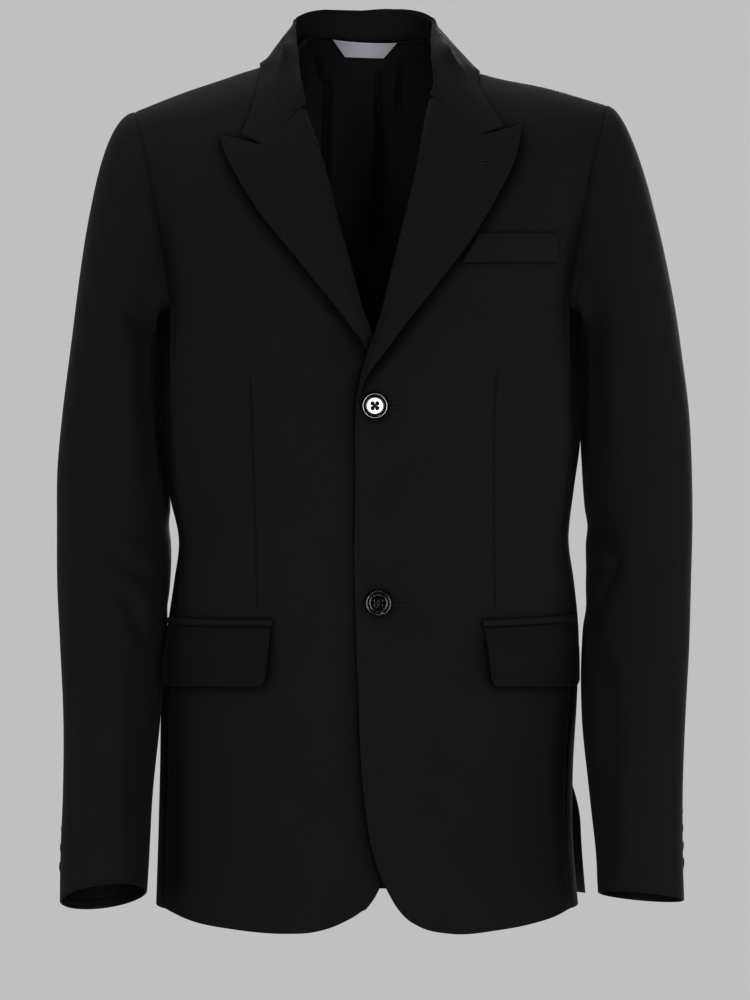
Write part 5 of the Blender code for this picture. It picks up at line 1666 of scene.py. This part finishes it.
def on_left_lapel(x, z):
    """Points on the left lapel, found from its own grid."""
    mesh = lapels[LEFT].data
    co = np.zeros(len(mesh.vertices) * 3)
    mesh.vertices.foreach_get("co", co)
    co = co.reshape(-1, 3)[: len(mesh.vertices) // 2] / MM  # the outer face
    y = np.array([co[np.argmin((co[:, 0] - a) ** 2 + (co[:, 2] - b) ** 2), 1] for a, b in zip(x, z)])
    y = np.convolve(np.concatenate([y[:4][::-1], y, y[-4:][::-1]]), np.ones(9) / 9, "valid")
    return np.stack([x, y, z], -1) + on_torso(x, z, FRONT)[1] * HOLE_LIFT


hole_paths = [hole_loop(a, b, HOLE_HALF, on_front_cloth) for a, b in FRONT_HOLES]
hole_paths.append(hole_loop(*LAPEL_HOLE, LAPEL_HOLE_HALF, on_left_lapel))
worn(make_threads("buttonhole_thread", hole_paths, HOLE_THREAD_RADIUS, black_thread), "wool_twill")

# %% [markdown]
# ## The studio
#
# Black wool shows only by what it mirrors and scatters, so the light matters more than the colour. An even pale
# backdrop all round lights it softly. Two large soft boxes, one on each side of the camera, light the front, and one
# overhead picks out the shoulders. A narrow one on each side stands level with the sleeves and draws the pale line
# along their outer edges, and one behind lights the back. The last, a small one behind the camera, is for the polished
# buttons alone: the upper one shows it in its flat face, and the lower one, which leans forward a little less, shows a
# black flag that hangs below it.
#
# A camera deepens dark tones more than pale ones. Blender's gamma does that to the finished picture, so the backdrop's
# own colour is worked back through it and comes out as planned.

# %% Backdrop and floor
TONE = 0.7  # below 1 it deepens the darks
scene.view_settings.view_transform = "Standard"
scene.view_settings.gamma = TONE
world = bpy.data.worlds.new("studio_backdrop")
world.use_nodes = True
backdrop = [c**TONE for c in linear("#c0c0c0")[:3]] + [1]
world.node_tree.nodes["Background"].inputs["Color"].default_value = backdrop
scene.world = world

FLOOR_Z, FLOOR_RADIUS, FLOOR_CORNERS = -1450, 3400, 96
angle = np.linspace(0, 2 * np.pi, FLOOR_CORNERS, endpoint=False)
rim = np.stack([FLOOR_RADIUS * np.cos(angle), FLOOR_RADIUS * np.sin(angle), 0 * angle + FLOOR_Z], -1)
floor_paint, floor_tree, floor_shader = new_material("matt_floor_paint")
floor_place = add_node(floor_tree, "TexCoord").outputs["Object"]
mottle = add_node(floor_tree, "TexNoise", Vector=floor_place, Scale=3.0).outputs["Fac"]
floor_colour = add_node(floor_tree, "Mix", COLOURS, _0=mottle, _6=linear("#7e7e7c"), _7=linear("#868684")).outputs[2]
set_inputs(floor_shader, Base_Color=floor_colour, Roughness=0.8)
add_mesh("studio_floor", rim, [range(FLOOR_CORNERS)], rim[:, :2], [floor_paint])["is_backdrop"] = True
print("floor in mm:", FLOOR_RADIUS * 2, "wide, at", FLOOR_Z)

# %% Lights and the black flag


def soft_light(name, place, target, size, watts):
    """A rectangular soft light at a place, in metres, turned to face a target."""
    data = bpy.data.lights.new(name, "AREA")
    data.shape = "RECTANGLE"
    data.size, data.size_y = size
    data.energy = watts
    made = add_object(name, data)
    made.location = place
    made.rotation_euler = (Vector(target) - Vector(place)).to_track_quat("-Z", "Y").to_euler()
    made.visible_camera = False


MIDDLE = (0, 0, -0.4)
soft_light("left_softbox", (-0.8, -3.0, -0.75), MIDDLE, (0.8, 1.1), 74)
soft_light("right_softbox", (0.8, -3.0, -0.75), MIDDLE, (0.8, 1.1), 114)
soft_light("overhead_light", (-0.35, 0.4, 1.5), (0, 0, -0.1), (2.2, 1.0), 70)
soft_light("left_edge_light", (-2.6, 0.2, -0.3), MIDDLE, (0.6, 1.6), 20)
soft_light("right_edge_light", (2.6, 0.2, -0.3), MIDDLE, (0.6, 1.6), 48)
soft_light("back_softbox", (0.7, 2.8, 0.2), MIDDLE, (1.8, 1.6), 110)
soft_light("button_light", (0.0, -3.15, -0.405), (0, 0, -0.38), (0.3, 0.2), 8)

FLAG_HALF_WIDE, FLAG_HALF_HIGH, FLAG_Y, FLAG_Z = 300, 180, -3320, -720
flag_felt, _, flag_shader = new_material("black_felt")
set_inputs(flag_shader, Base_Color=linear("#050505"), Roughness=0.9)
flag_corners = np.array(
    [(x * FLAG_HALF_WIDE, FLAG_Y, FLAG_Z + z * FLAG_HALF_HIGH) for x, z in ((-1, 1), (1, 1), (1, -1), (-1, -1))], float
)
flag = add_mesh("black_flag", flag_corners, [[0, 1, 2, 3]], flag_corners[:, ::2], [flag_felt])
flag.visible_camera = False
flag.visible_shadow = False
flag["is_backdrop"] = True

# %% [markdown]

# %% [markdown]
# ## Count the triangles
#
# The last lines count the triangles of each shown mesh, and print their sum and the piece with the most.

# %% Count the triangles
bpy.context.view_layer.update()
triangles = {o.name: sum(len(p.vertices) - 2 for p in o.data.polygons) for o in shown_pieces() if o.type == "MESH"}
print("triangles:", sum(triangles.values()), "most:", max(triangles.items(), key=lambda t: t[1]))
